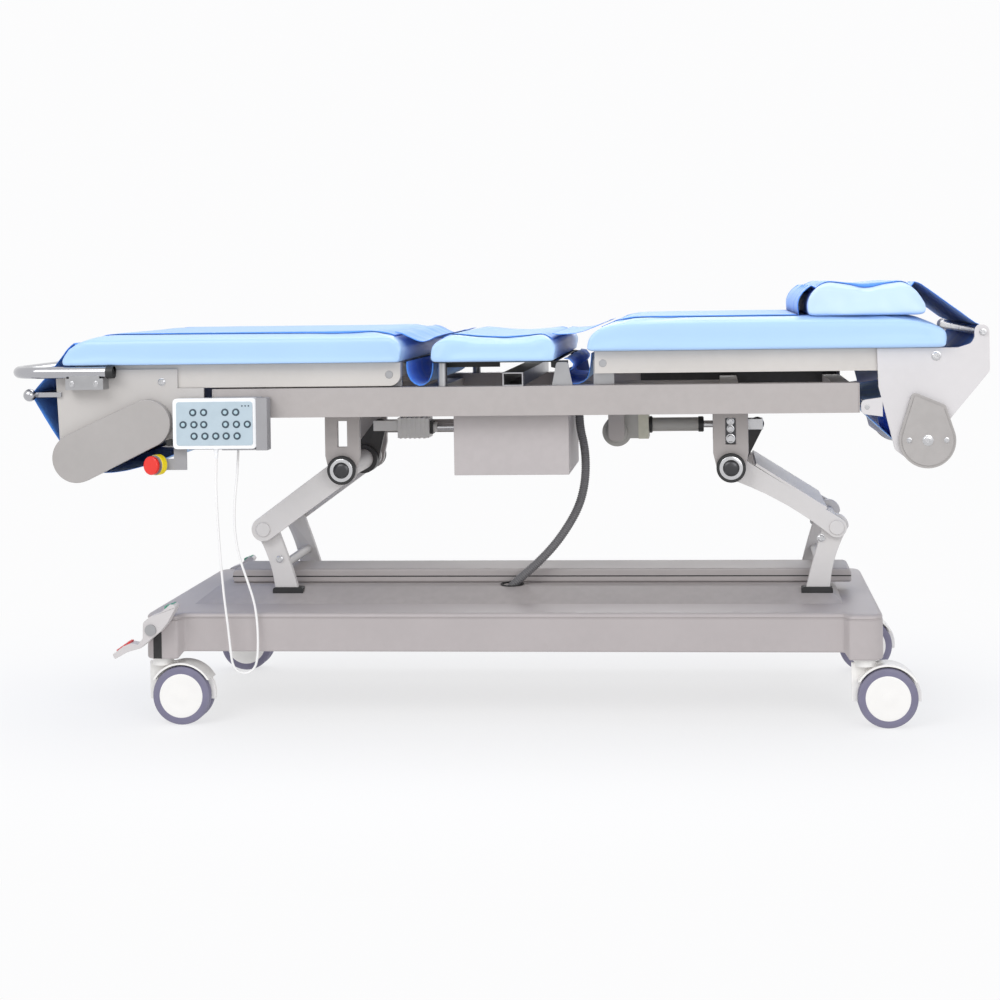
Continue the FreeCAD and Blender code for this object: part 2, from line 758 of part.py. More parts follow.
# Base
def base_cover():
    """A moulded shell: skirt, four corner pods, flat top and the raised platform."""
    def shell(inset, low, high):
        """The cover's outer form, drawn in by inset all round, from low to high."""
        main = box(f"cover_foot + {inset}", f"-cover_wide / 2 + {inset}", low,
                   f"cover_head - cover_foot - 2 * {inset}", f"cover_wide - 2 * {inset}", high)
        pods = []
        for x, drop in (("pod_foot", "pod_drop"), ("pod_head - pod_long", "soft_gap")):
            pods.append(box(f"{x} + {inset}", f"-pod_wide / 2 + {inset}", f"{low} - {drop}",
                            f"pod_long - 2 * {inset}", f"pod_wide - 2 * {inset}",
                            f"{high} + {drop}"))
        return fuse(main, *pods)
    outer = shell("0", "cover_low", "cover_top - cover_low")
    foot, head = "cover_foot + platform_slope", "cover_head - platform_slope"
    rise = "platform_slope / 2"
    ramp = plate([(foot, "cover_top - cover_wall"), (head, "cover_top - cover_wall"),
                  (head, "cover_top"), (f"{head} - {rise}", "platform_top"),
                  (f"{foot} + {rise}", "platform_top"), (foot, "cover_top")],
                 "platform_wide", 0)
    inner = shell("cover_wall", "cover_low - cover_wall", "cover_top - cover_low")
    under = plate([(f"{foot} + cover_wall", "cover_low"), (f"{head} - cover_wall", "cover_low"),
                   (f"{head} - cover_wall", "cover_top - cover_wall"),
                   (f"{head} - {rise}", "platform_top - cover_wall"),
                   (f"{foot} + {rise}", "platform_top - cover_wall"),
                   (f"{foot} + cover_wall", "cover_top - cover_wall")],
                  "platform_wide - 2 * cover_wall", 0)
    hollow = cut(fuse(outer, ramp), inner, under)
    slots = []
    for x in ("head_strut_foot", "foot_strut_foot"):
        slot = box(f"{x} - strut_foot / 2 - soft_gap", f"-({STRUT_NEAR}) - strut_thick - soft_gap",
                   "cover_low", "strut_foot + 2 * soft_gap", "strut_thick + 2 * soft_gap",
                   "platform_top")
        slots += [slot, mirror(slot)]
    grommet_hole = cylinder("grommet_x", "conduit_y", "cover_low",
                            "grommet_hole + cover_wall / 2", "platform_top")
    pin_holes = pin_y("pedal_turn_x", "pedal_turn_z", "pin / 2 + soft_gap", "-pod_wide / 2 - 1",
                      "pod_wide + 2")
    node("base_cover", cut(hollow, *slots, grommet_hole, pin_holes))


def base_lid():
    """The long lid down the middle of the platform."""
    body = plate([("lid_foot", "platform_top"), ("lid_head", "platform_top"),
                  ("lid_head", "lid_top"), ("lid_foot", "lid_top")], "lid_wide", 0,
                 [((2, 3), 12)])
    node("base_lid", body)


def cable_grommet():
    collar = cylinder("grommet_x", "conduit_y", "platform_top - cover_wall",
                      "grommet_hole + cover_wall / 2", "cover_wall + 2")
    flange = cylinder("grommet_x", "conduit_y", "platform_top", "grommet_hole + cover_wall", "3")
    hole = cylinder("grommet_x", "conduit_y", "cover_low", "grommet_hole", "platform_top")
    node("cable_grommet", cut(fuse(collar, flange), hole))


SOCKET = "stem / 2 + 2 * tube_wall"


def base_frame():
    """The steel ladder inside the cover, with a socket for each caster's stem."""
    beam = tube_along("caster_foot - beam_wide / 2", "-beam_half - beam_wide / 2", "beam_low",
                      "caster_head - caster_foot + beam_wide", "beam_wide", "beam_high")
    inside = "beam_half - beam_wide / 2"
    parts = [beam, mirror(beam)]
    for x in ("caster_foot", "caster_head", "head_strut_foot", "foot_strut_foot"):
        parts.append(cross_tube(x, "beam_low", "beam_wide", "beam_high", inside))
    bores = []
    for x in ("caster_foot", "caster_head"):
        wing = tube_across(x)
        socket = cylinder(x, "-caster_y", "beam_low", SOCKET, "beam_high")
        bore = cylinder(x, "-caster_y", "beam_low - 1", "stem / 2 + run_fit", "beam_high + 2")
        parts += [wing, mirror(wing), socket, mirror(socket)]
        bores += [bore, mirror(bore)]
    pedal_side = "pedal_y + pedal_wide / 2"
    stub = pin_y("pedal_turn_x", "pedal_turn_z", "pin / 2", f"-({pedal_side}) - 0.3",
                 f"{pedal_side} - caster_y - stem / 2 - run_fit")
    head = pin_y("pedal_turn_x", "pedal_turn_z", "pin", f"-({pedal_side}) - 3", "2.7")
    parts += [stub, mirror(stub), head, mirror(head)]
    node("base_frame", cut(fuse(*parts), *bores))


def tube_across(x):
    """The stub of tube from a base beam out to a caster's socket."""
    outer = box(f"{x} - beam_wide / 2", "-caster_y", "beam_low", "beam_wide",
                "caster_y - beam_half - beam_wide / 2", "beam_high")
    inner = box(f"{x} - beam_wide / 2 + tube_wall", "-caster_y", "beam_low + tube_wall",
                "beam_wide - 2 * tube_wall", "caster_y - beam_half - beam_wide / 2",
                "beam_high - 2 * tube_wall")
    return cut(outer, inner)


def strut(foot_x, top_x, bow):
    """A curved upright plate from the base beam to a lower pivot; bow is its bulge in X."""
    low_z, top_z = size("beam_low") + size("beam_high"), size("lower_z")
    half_foot, half_top = size("strut_foot") / 2, size("arm_hub")
    foot, top = size(foot_x), size(top_x)
    middle_x, middle_z = (foot + top) / 2 + bow, (low_z + top_z) / 2
    narrow = size("strut_wide") / 2
    side = 1 if top > foot else -1
    left_top = Vector(top - half_top, 0, top_z)
    right_top = Vector(top + half_top, 0, top_z)
    outline = face_of([
        line(Vector(foot - half_foot, 0, low_z), Vector(foot + half_foot, 0, low_z)),
        arc(Vector(foot + half_foot, 0, low_z),
            Vector(middle_x + narrow + side * 2, 0, middle_z), right_top),
        arc(right_top, Vector(top, 0, top_z + half_top), left_top),
        arc(left_top, Vector(middle_x - narrow + side * 2, 0, middle_z),
            Vector(foot - half_foot, 0, low_z))])
    inner = size("arm_inside") - size("strut_gap") - size("strut_thick")
    return slab(outline, -inner - size("strut_thick"), size("strut_thick"))


def strut_pair(label, foot_x, top_x, bow):
    """Both plates, the shaft across their tops with its end caps, and a cross tube lower down."""
    upright = strut(foot_x, top_x, bow)
    reach = "arm_inside + arm_thick + soft_gap"
    shaft = pin_y(top_x, "lower_z", "lower_shaft / 2", f"-({reach})", f"2 * ({reach})")
    cap = pin_y(top_x, "lower_z", "lower_shaft * 0.65", f"-({reach}) - 3", "3")
    brace = pin_y(f"({foot_x} + {top_x}) / 2 + {bow}", "(beam_low + beam_high + lower_z) / 2",
                  "rod / 2 + 2", f"-({STRUT_NEAR})", f"2 * ({STRUT_NEAR})")
    node(label, fuse(upright, mirror(upright), shaft, cap, mirror(cap), brace))


# Casters
def caster(label, x, y, turned):
    """A swivel fork on a stem, and its pair of wheel discs on one axle."""
    away = "trail" if turned > 0 else "-trail"
    wheel_x = f"{x} + {away}"
    inner = "(wheel_outer - wheel_thick)"
    leg = f"2 * ({inner} - soft_gap * 2)"
    stem_top = cylinder(x, y, "2 * wheel_radius + 12", "stem / 2",
                        "beam_low + beam_high - 2 * wheel_radius - 15")
    crown = cylinder(x, y, "2 * wheel_radius + 2", "0.8 * stem", "20")
    web_low = f"{x} - stem" if turned > 0 else f"{x} - trail - axle"
    web = box(web_low, f"{y} - {leg} / 2", "wheel_radius - axle", "trail + stem + axle", leg,
              "wheel_radius + axle + 8")
    hood = doc.addObject("Part::Cylinder", "Round")
    bind(hood, Radius="wheel_radius + 8", Height=leg)
    place(hood, wheel_x, f"{y} - {leg} / 2", "wheel_radius", ALONG_Y)
    keep = box(f"{wheel_x} - 2 * wheel_radius", f"{y} - wheel_radius", "wheel_radius - axle",
               "4 * wheel_radius", "2 * wheel_radius", "2 * wheel_radius")
    core = doc.addObject("Part::Common", "Kept")
    core.Base = hood
    core.Tool = keep
    roof_outer = pin_y(wheel_x, "wheel_radius", "wheel_radius + 8", f"{y} - wheel_outer",
                       "2 * wheel_outer")
    roof_inner = pin_y(wheel_x, "wheel_radius", "wheel_radius + 4", f"{y} - wheel_radius",
                       "2 * wheel_radius")
    roof_side = box(f"{wheel_x} - 2 * wheel_radius", f"{y} - wheel_radius",
                    "1.55 * wheel_radius", "4 * wheel_radius", "2 * wheel_radius",
                    "2 * wheel_radius")
    roof = doc.addObject("Part::Common", "Kept")
    roof.Base = cut(roof_outer, roof_inner)
    roof.Tool = roof_side
    bore = pin_y(wheel_x, "wheel_radius", "axle / 2 + run_fit", f"{y} - wheel_radius",
                 "2 * wheel_radius")
    node(f"caster_fork_{label}", cut(fuse(crown, web, core, roof, stem_top), bore))
    disc = pin_y(wheel_x, "wheel_radius", "wheel_radius", f"{y} + {inner}", "wheel_thick")
    dish = pin_y(wheel_x, "wheel_radius", "wheel_radius - 2 * tread",
                 f"{y} + wheel_outer - 3", "4")
    near = pin_y(wheel_x, "wheel_radius", "wheel_radius", f"{y} - wheel_outer", "wheel_thick")
    near_dish = pin_y(wheel_x, "wheel_radius", "wheel_radius - 2 * tread",
                      f"{y} - wheel_outer - 1", "4")
    axle = pin_y(wheel_x, "wheel_radius", "axle / 2", f"{y} - wheel_outer + 3",
                 "2 * wheel_outer - 6")
    node(f"caster_wheel_{label}", fuse(cut(disc, dish), cut(near, near_dish), axle))


PEDAL_OUTLINE = [(-79, -62), (-84, -52), (-61, -35), (-44, -28), (-29, -31), (-18, -18), (-17, 15),
                 (-2, 28), (21, 36), (42, 54), (50, 54), (55, 48), (37, 16), (21, -3), (2, -18),
                 (-23, -39), (-51, -47)]


def pedal(label, side):
    """A brake pedal that rocks on a stub pin beside the foot pod; its outline is from the pin."""
    outline = [(f"pedal_turn_x + {x}", f"pedal_turn_z + {z}") for x, z in PEDAL_OUTLINE]
    arm = plate(outline, "pedal_wide", "pedal_y" if side > 0 else "-pedal_y",
                [((0, 1, 10, 11), 3), ((6, 7), 8)])
    hole = pin_y("pedal_turn_x", "pedal_turn_z", "pin / 2 + run_fit", "-frame_wide",
                 "2 * frame_wide")
    node(f"brake_pedal_{label}", cut(arm, hole))


# Seat section
def seat_section():
    pan = box("seat_pad_foot + pin", "-section_wide / 2", "seat_pan_low",
              "seat_hinge_x - seat_pad_foot - 2 * pin", "section_wide", "panel_thick")
    lip = box("seat_pad_foot + pin", "-section_wide / 2 + 2 * section_tube",
              "seat_pan_low - pin", "seat_tube_foot - seat_pad_foot - 2 * pin", "panel_thick",
              "pin")
    lug = plate([("seat_hinge_x - 2 * pin", "seat_pan_low + panel_thick"),
                 ("seat_hinge_x - 2 * pin", "seat_pan_low - pin"),
                 ("seat_hinge_x", "seat_hinge_z - pin"), ("seat_hinge_x + pin", "seat_hinge_z - pin"),
                 ("seat_hinge_x + pin", "seat_pan_low + panel_thick")],
                "hinge_ear", f"{SEAT_EAR_Y} + hinge_ear + cheek_gap", [((3,), "pin - 1")])
    hole = pin_y("seat_hinge_x", "seat_hinge_z", "pin / 2 - 1.5 + run_fit", "-frame_wide / 2",
                 "frame_wide")
    node("seat_pan", cut(fuse(pan, lip, mirror(lip), lug, mirror(lug)), hole))
    cushion("seat_cushion", "seat_pad_foot", "seat_pad_head",
            "seat_pan_low + panel_thick + soft_gap", "seat_pad_high", "pad_wide")


def cushion(label, foot, head, low, high, wide, foot_round="pad_round"):
    """A closed pad; foot_round rounds the top edge at its foot end."""
    top = f"{low} + {high}"
    node(label, plate([(foot, low), (head, low), (head, top), (foot, top)], wide, 0,
                      [((2,), "pad_round"), ((3,), foot_round), ((0, 1), "pad_low_round")]))


# Leg section
LEG_TOP = "leg_rail_low + leg_rail_high"


def leg_frame():
    rail_end = "leg_hinge_x + leg_rail_high / 2"
    rail = cut(plate([("leg_rail_foot", "leg_rail_low"), (rail_end, "leg_rail_low"),
                      (rail_end, LEG_TOP), ("leg_rail_foot", LEG_TOP)], "section_tube",
                     "-section_wide / 2 + section_tube / 2",
                     [((1,), "leg_rail_high / 2 - 0.5")]),
               box("leg_rail_foot", "-section_wide / 2 + tube_wall", "leg_rail_low + tube_wall",
                   f"leg_hinge_x - leg_rail_foot - leg_rail_high", "section_tube - 2 * tube_wall",
                   "leg_rail_high - 2 * tube_wall"))
    hole = pin_y("leg_hinge_x", "leg_hinge_z", "hinge_pin / 2 + run_fit", "-frame_wide / 2",
                 "frame_wide")
    crosses = [cross_tube(x, "leg_rail_low + tube_wall", "section_tube",
                          "leg_rail_high - 2 * tube_wall", SECTION_INSIDE)
               for x in ("leg_rail_foot + section_tube / 2", "leg_hinge_x - leg_rail_high")]
    spar = tube_along("leg_pad_foot + section_tube", "-section_wide / 2", "leg_rail_low + 8",
                      "leg_rail_foot - leg_pad_foot - section_tube", "section_tube",
                      "leg_rail_high - 8")
    panel = box("leg_pad_foot + section_tube", "-section_wide / 2", LEG_TOP,
                f"{rail_end} - leg_pad_foot - section_tube", "section_wide", "panel_thick")
    node("leg_frame", cut(fuse(rail, mirror(rail), spar, mirror(spar), *crosses, panel), hole))
    cushion("leg_cushion", "leg_pad_foot", "leg_pad_head", f"{LEG_TOP} + panel_thick + soft_gap",
            "leg_pad_high", "pad_wide", "leg_pad_round")


LEG_SIDE = "section_wide / 2 + foot_plate_thick"


def foot_side_plates():
    top, low = "foot_plate_top", "nip_z - nip_radius - 8"
    outline = [("foot_plate_x", top), ("foot_plate_x + 9", "nip_z + 12"),
               ("nip_x - nip_radius", low), ("nip_x + 22", low),
               ("takeup_x - 44", "takeup_z - 30"), ("takeup_x + 50", "takeup_z - 30"),
               ("takeup_x + 50", "leg_rail_low"), ("leg_rail_foot + 18", "leg_rail_low"),
               ("leg_rail_foot + 18", top)]
    body = plate(outline, "foot_plate_thick", "-section_wide / 2 - foot_plate_thick / 2",
                 [((2, 3), 16), ((5,), 14), ((0,), 4)])
    holes = [pin_y(x, z, "axle / 2 + run_fit", "-frame_wide", "2 * frame_wide")
             for x, z in (("nip_x", "nip_z"), ("takeup_x", "takeup_z"))]
    node("foot_side_plates", pair(cut(body, *holes)))


def belt_cover():
    """The hollow moulding over the belt that drives the nip roller."""
    outer = two_circles(size("nip_x"), size("nip_z"), size("belt_low_radius"),
                        size("belt_top_x"), size("belt_top_z"), size("belt_top_radius"))
    wall = size("tube_wall")
    inner = two_circles(size("nip_x"), size("nip_z"), size("belt_low_radius") - wall,
                        size("belt_top_x"), size("belt_top_z"), size("belt_top_radius") - wall)
    thick = size("belt_cover_thick")
    face_y = -size("section_wide") / 2 - size("foot_plate_thick")
    shell = cut(slab(outer, face_y - thick, thick), slab(inner, face_y - thick + wall, thick))
    node("belt_cover", shell)


def sheet_bar():
    """The rod across the foot end that the cover sheet runs over, on two arms."""
    rod_bar = pin_y("bar_x", "bar_z", "bar_radius", f"-({LEG_SIDE}) - 12", f"2 * ({LEG_SIDE}) + 24")
    ball = doc.addObject("Part::Sphere", "Ball")
    bind(ball, Radius="bar_ball")
    place(ball, "bar_x", f"-({LEG_SIDE}) - 12", "bar_z")
    arm = box("bar_x", f"-({LEG_SIDE}) - 6", "bar_z - 5", "foot_plate_x + 14 - bar_x", "6", "10")
    node("sheet_bar", fuse(rod_bar, ball, mirror(ball), arm, mirror(arm)))


def foot_handle():
    """A bright push handle: one tube with two quarter bends, and a black plug in each end."""
    left = "handle_foot + handle_tube / 2"
    side = cylinder(f"{left} + handle_bend", "-handle_half", "handle_z", "handle_tube / 2",
                    f"handle_head - ({left}) - handle_bend", ALONG_X)
    across = pin_y(left, "handle_z", "handle_tube / 2", "handle_bend - handle_half",
                   "2 * (handle_half - handle_bend)")
    bend = doc.addObject("Part::Torus", "Bend")
    bind(bend, Radius1="handle_bend", Radius2="handle_tube / 2", Angle3="90")
    place(bend, f"{left} + handle_bend", "handle_bend - handle_half", "handle_z",
          Rotation(Vector(0, 0, 1), 180))
    plug = cylinder("handle_head", "-handle_half", "handle_z", "handle_tube / 2 + 0.5", "14", ALONG_X)
    node("foot_handle", group(fuse(side, mirror(side), across, bend, mirror(bend)),
                              plug, mirror(plug)))


def handle_clamps():
    """A bracket bolted to each side plate, with a saddle that holds the handle's tube."""
    low_z = "handle_z - handle_tube / 2 - 24"
    saddle = box("clamp_foot", "-handle_half - handle_tube / 2 + 2", low_z,
                 "clamp_head - clamp_foot", f"handle_half + handle_tube / 2 - 2 - ({LEG_SIDE})", "24")
    upper = box("clamp_foot + 8", "-handle_half - handle_tube / 2 + 2", "handle_z - handle_tube",
                "clamp_head - clamp_foot - 16",
                f"handle_half + handle_tube / 2 - 2 - ({LEG_SIDE})", "handle_tube")
    groove = cylinder("clamp_foot", "-handle_half", "handle_z", "handle_tube / 2",
                      "clamp_head - clamp_foot", ALONG_X)
    node("handle_clamps", pair(cut(fuse(saddle, upper), groove)))


def leaned(radius, length, along):
    """A round solid of the stop, which points out and toward the foot end."""
    turn = Rotation(Vector(0, 0, 1), -size("stop_tilt")) * Rotation(Vector(1, 0, 0), 90)
    out = turn.multVec(Vector(0, 0, along))
    solid = Part.makeCylinder(radius, length)
    solid.Placement = Placement(Vector(size("stop_x"), size("stop_y"), size("stop_z")) + out, turn)
    return solid


def emergency_stop():
    """A mushroom button that presses into its yellow collar, on an arm of the near side plate."""
    collar_radius, travel, stalk_radius = size("stop_collar") / 2, size("stop_travel"), 7
    collar_long, housing_long = 12, 10
    plate_y = -size("section_wide") / 2 - size("foot_plate_thick")
    arm_thick, x, z = 3, size("stop_x"), size("stop_z")
    foot, right = x - 10, size("takeup_x") + 12
    corners = [(foot, z - 12), (right, z - 12), (right, size("takeup_z")),
               (right - 28, size("takeup_z")), (right - 28, z + 12), (foot, z + 12)]
    points = [Vector(corner_x, plate_y - arm_thick, corner_z) for corner_x, corner_z in corners]
    arm = Part.Face(Part.makePolygon(points + points[:1])).extrude(Vector(0, arm_thick, 0))
    housing = leaned(collar_radius - 3, housing_long, -collar_long - housing_long)
    collar = leaned(collar_radius, collar_long, -collar_long)
    well = leaned(stalk_radius + size("run_fit"), 2 * collar_long, -1.9 * collar_long)
    node("stop_housing", solid_of(housing.multiFuse([collar, arm]).removeSplitter().cut(well)))
    stalk = leaned(stalk_radius, collar_long + travel, -collar_long)
    cap = leaned(size("stop_cap") / 2, 9, travel)
    node("stop_button", solid_of(stalk.fuse(cap)))


# Back section
BACK_TOP = "back_rail_low + back_rail_high"


def back_section():
    rail = tube_along("back_rail_foot", "-section_wide / 2", "back_rail_low",
                      "back_rail_head - back_rail_foot", "section_tube", "back_rail_high")
    crosses = [cross_tube(x, "back_rail_low", "section_tube", "back_rail_high", SECTION_INSIDE)
               for x in ("back_hinge_x + 2 * section_tube", "(back_hinge_x + back_rail_head) / 2",
                         "back_rail_head - section_tube / 2")]
    panel = box("back_rail_foot", "-section_wide / 2", BACK_TOP,
                "back_rail_head - back_rail_foot", "section_wide", "panel_thick")
    hole = pin_y("back_hinge_x", "back_hinge_z", "hinge_pin / 2 + run_fit", "-frame_wide / 2",
                 "frame_wide")
    node("back_frame", cut(fuse(rail, mirror(rail), *crosses, panel), hole))
    low = f"{BACK_TOP} + panel_thick + soft_gap"
    cushion("back_cushion", "back_pad_foot", "back_pad_head", low, "back_pad_high", "pad_wide",
            "back_pad_round")
    cushion("pillow", "pillow_foot", "pillow_head", f"{low} + back_pad_high + soft_gap",
            "pillow_high", "pillow_wide")


def head_side_plates():
    """Each plate hangs from the back rail: an ear for the top roller, a lobe for the supply roll."""
    right, top = "ear_x + ear_radius", "back_rail_low + back_rail_high + panel_thick"
    outline = [("plate_low_x", "plate_low_z"), ("hub_x - 16", "hub_z - 57"),
               ("hub_x + 34", "hub_z - 50"), ("hub_x + 48", "hub_z + 43"),
               (right, "ear_z - 81"), (right, "ear_z + ear_radius"),
               ("ear_x - ear_radius", "ear_z + ear_radius"), ("ear_x - ear_radius", "ear_z - 22"),
               ("back_pad_head + pin", top), ("plate_top_x", top), ("plate_top_x + 2", "guide_z + 42")]
    body = plate(outline, "head_plate_thick", "-section_wide / 2 - head_plate_thick / 2",
                 [((5, 6), "ear_radius - 0.5"), ((1, 2), 30), ((0,), 12), ((7,), 20), ((4,), 18)])
    holes = [pin_y(x, z, "axle / 2 + run_fit", "-frame_wide", "2 * frame_wide")
             for x, z in (("hub_x", "hub_z"), ("ear_x", "ear_z"), ("guide_x", "guide_z"))]
    tab = plate([("plate_top_x + 10", "guide_z - 20"), ("plate_top_x + 10", "guide_z + 20"),
                 ("guide_x - 12", "guide_z + 14"), ("guide_x - 12", "guide_z - 14")],
                "head_plate_thick", "-section_wide / 2 - head_plate_thick / 2",
                [((2, 3), 11)])
    node("head_side_plates", pair(cut(fuse(body, tab), *holes)))


def hub_covers():
    """Teardrop mouldings over the supply roll's axle ends."""
    outline = two_circles(size("hub_x"), size("hub_z"), size("hub_cover"),
                          size("hub_tip_x"), size("hub_tip_z"), size("pin"))
    face_y = -size("section_wide") / 2 - size("head_plate_thick")
    thick = size("hub_cover_thick")
    shell = slab(outline, face_y - thick, thick)
    core = pin_y("hub_x", "hub_z", "hub_cover - tube_wall", f"{face_y - thick} + tube_wall",
                 f"{thick}")
    node("hub_covers", pair(cut(shell, core)))


# Rollers
def roller(label, x, z, radius, over, ends=0):
    """A roller between two side plates, with a journal in each plate's hole."""
    drum = pin_y(x, z, radius, "-roll_wide / 2", "roll_wide")
    axle = pin_y(x, z, "axle / 2", f"-section_wide / 2 - {over} - {ends}",
                 f"section_wide + 2 * {over} + 2 * {ends}")
    return node(label, fuse(drum, axle))


def rollers():
    plate_in = "head_plate_thick"
    roller("supply_roll", "hub_x", "hub_z", "supply_radius", plate_in)
    roller("top_roller", "ear_x", "ear_z", "top_roller_radius", plate_in, 2)
    roller("guide_roller", "guide_x", "guide_z", "guide_radius", plate_in)
    roller("nip_roller", "nip_x", "nip_z", "nip_radius", "foot_plate_thick")
    roller("takeup_roll", "takeup_x", "takeup_z", "takeup_radius", "foot_plate_thick")


# Cords
CONDUIT_ROUTE = [(176, -85, 650), (176, -85, 616), (187, -85, 570), (189, -85, 522),
                 (184, -85, 478), (172, -85, 438), (150, -85, 398), (120, -85, 356),
                 (84, -85, 318), (48, -85, 287), (21, -85, 264), (4, -85, 240)]
HANDSET_ROUTE = [(-580, -304, 593.5), (-580, -304, 560), (-582, -304, 510), (-580, -303, 452),
                 (-577, -302, 392), (-573, -301, 332), (-569, -299, 276), (-563, -297, 222),
                 (-558, -296, 168), (-554, -295, 130), (-539, -293, 115), (-519, -291, 115),
                 (-504, -288, 130), (-501, -285, 168), (-502, -283, 214), (-508, -281, 262),
                 (-524, -280, 310), (-542, -279, 362), (-551, -278, 418), (-551, -274, 474),
                 (-546, -268, 530), (-544, -263, 582), (-543, -262, 622), (-543, -262, 656)]


def cord(label, route, diameter):
    """A cord's tube: straight runs joined by arcs as large as the runs allow."""
    points = [Vector(*point) for point in route]
    edges, start, tightest = [], points[0], None
    for before, corner, after in zip(points, points[1:], points[2:]):
        run_in, run_out = corner - before, after - corner
        turn = run_in.getAngle(run_out)
        short = min(run_in.Length, run_out.Length)
        reach = 0.45 * short
        radius = reach / math.tan(turn / 2)
        tightest = radius if tightest is None else min(tightest, radius)
        entry = corner - run_in.normalize() * reach
        leave = corner + run_out.normalize() * reach
        inward = (run_out - run_in).normalize()
        centre_gap = math.hypot(radius, reach)
        middle = corner + inward * (centre_gap - radius)
        edges += [line(start, entry), arc(entry, middle, leave)]
        start = leave
    edges.append(line(start, points[-1]))
    path = Part.Wire(edges)
    away = (points[1] - points[0]).normalize()
    ring = Part.Wire([Part.makeCircle(diameter / 2, points[0], away)])
    tube = path.makePipeShell([ring], True, False)
    share = tube.Volume / (math.pi * diameter ** 2 / 4 * path.Length)
    print(f"{label}: length {path.Length:.0f}, tightest radius {tightest:.1f}, "
          f"volume over section times length {share:.4f}")
    node(label, solid_of(tube))


def conduit_gland():
    """The clip on the control box that the conduit comes down out of."""
    block = box("box_head", "conduit_y - conduit", "frame_low - 6", "conduit_x - box_head + conduit",
                "2 * conduit", "cross_size / 2 - tube_wall")
    node("conduit_gland", block)


def main():
    main_frame()
    frame_caps()
    section_hinges()
    seat_supports()
    head_hangers()
    control_box()
    handset_parts()
    conduit_gland()
    head_lift_arms()
    foot_lift_arms()
    lever("head_lever", "head_upper_x", "head_tip_x", "head_tip_z", "head_drive_y")
    lever("foot_lever", "foot_upper_x", "foot_tip_x", "foot_tip_z", "foot_drive_y")
    foot_hanger()
    head_drive()
    foot_drive()
    base_cover()
    base_lid()
    cable_grommet()
    base_frame()
    strut_pair("head_struts", "head_strut_foot", "head_lower_x", -10)
    strut_pair("foot_struts", "foot_strut_foot", "foot_lower_x", 10)
    for label, x, y, turned in (("head_near", "caster_head", "-caster_y", 1),
                                ("head_far", "caster_head", "caster_y", 1),
                                ("foot_near", "caster_foot", "-caster_y", 1),
                                ("foot_far", "caster_foot", "caster_y", 1)):
        caster(label, x, y, turned)
    pedal("near", -1)
    pedal("far", 1)
    seat_section()
    leg_frame()
    foot_side_plates()
    belt_cover()
    sheet_bar()
    foot_handle()
    handle_clamps()
    emergency_stop()
    back_section()
    head_side_plates()
    hub_covers()
    rollers()
    cord("conduit", CONDUIT_ROUTE, size("conduit"))
    cord("handset_cord", HANDSET_ROUTE, size("handset_cord"))
    doc.recompute()
    faults = [thing.Label for thing in doc.Objects
              if any(word in ("Invalid", "Error") for word in thing.State)]
    faults += [thing.Label for thing in NODES
               if thing.Shape.isNull() or not thing.Shape.isValid() or not thing.Shape.Solids]
    if faults:
        raise SystemExit(f"not whole: {sorted(set(faults))}")
    os.makedirs("parts", exist_ok=True)
    for thing in NODES:
        thing.Shape.exportStep(f"parts/{thing.Label}.step")
        bounds = thing.Shape.BoundBox
        print(f"{thing.Label:22} {len(thing.Shape.Solids):2} solids  "
              f"X {bounds.XMin:8.1f} {bounds.XMax:8.1f}  Y {bounds.YMin:7.1f} {bounds.YMax:7.1f}  "
              f"Z {bounds.ZMin:7.1f} {bounds.ZMax:7.1f}  volume {thing.Shape.Volume:12.0f}")
    print(len(NODES), "nodes")


main()
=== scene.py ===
"""Looks of the ultrasound examination table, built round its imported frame.

Metres. +X is the head end, +Y the far side, +Z up, and the floor is at 0. The table's own sizes
are written in millimetres, as on its drawings, and mm() turns them into metres.
"""
import math
import bmesh
import bpy
from mathutils import Matrix, Vector, noise
from mathutils.bvhtree import BVHTree
from mathutils.geometry import convex_hull_2d


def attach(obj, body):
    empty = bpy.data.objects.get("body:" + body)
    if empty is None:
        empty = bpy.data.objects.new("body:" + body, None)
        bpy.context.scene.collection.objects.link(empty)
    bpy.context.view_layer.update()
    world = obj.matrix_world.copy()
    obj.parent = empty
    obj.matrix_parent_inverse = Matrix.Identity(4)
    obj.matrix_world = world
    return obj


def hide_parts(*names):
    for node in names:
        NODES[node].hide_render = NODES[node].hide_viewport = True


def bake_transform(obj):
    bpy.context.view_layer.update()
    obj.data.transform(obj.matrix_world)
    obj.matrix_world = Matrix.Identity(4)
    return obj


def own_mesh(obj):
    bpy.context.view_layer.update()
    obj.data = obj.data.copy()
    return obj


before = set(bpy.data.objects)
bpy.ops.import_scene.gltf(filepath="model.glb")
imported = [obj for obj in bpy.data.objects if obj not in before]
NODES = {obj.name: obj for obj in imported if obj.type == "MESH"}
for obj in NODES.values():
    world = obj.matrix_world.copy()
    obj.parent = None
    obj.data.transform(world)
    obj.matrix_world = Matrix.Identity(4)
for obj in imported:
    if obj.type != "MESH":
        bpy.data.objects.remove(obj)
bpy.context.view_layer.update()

# The table's driving places, in millimetres
SHEET_HALF = 268
CUSHION_HALF = 325
UPPER_Z, LOWER_Z = 531, 398
HEAD_UPPER_X, HEAD_LOWER_X = 508, 733
FOOT_UPPER_X, FOOT_LOWER_X = -340, -524
HUB = (909.5, 599.5)


def mm(*values):
    """Millimetres as metres: one number, or a vector of three."""
    if len(values) == 1:
        return values[0] / 1000
    return Vector([value / 1000 for value in values])


def colour(red, green, blue):
    """A colour written as on a screen, 0 to 255, turned to linear light."""
    def linear(value):
        value /= 255
        return value / 12.92 if value <= 0.04045 else ((value + 0.055) / 1.055) ** 2.4
    return (linear(red), linear(green), linear(blue), 1)


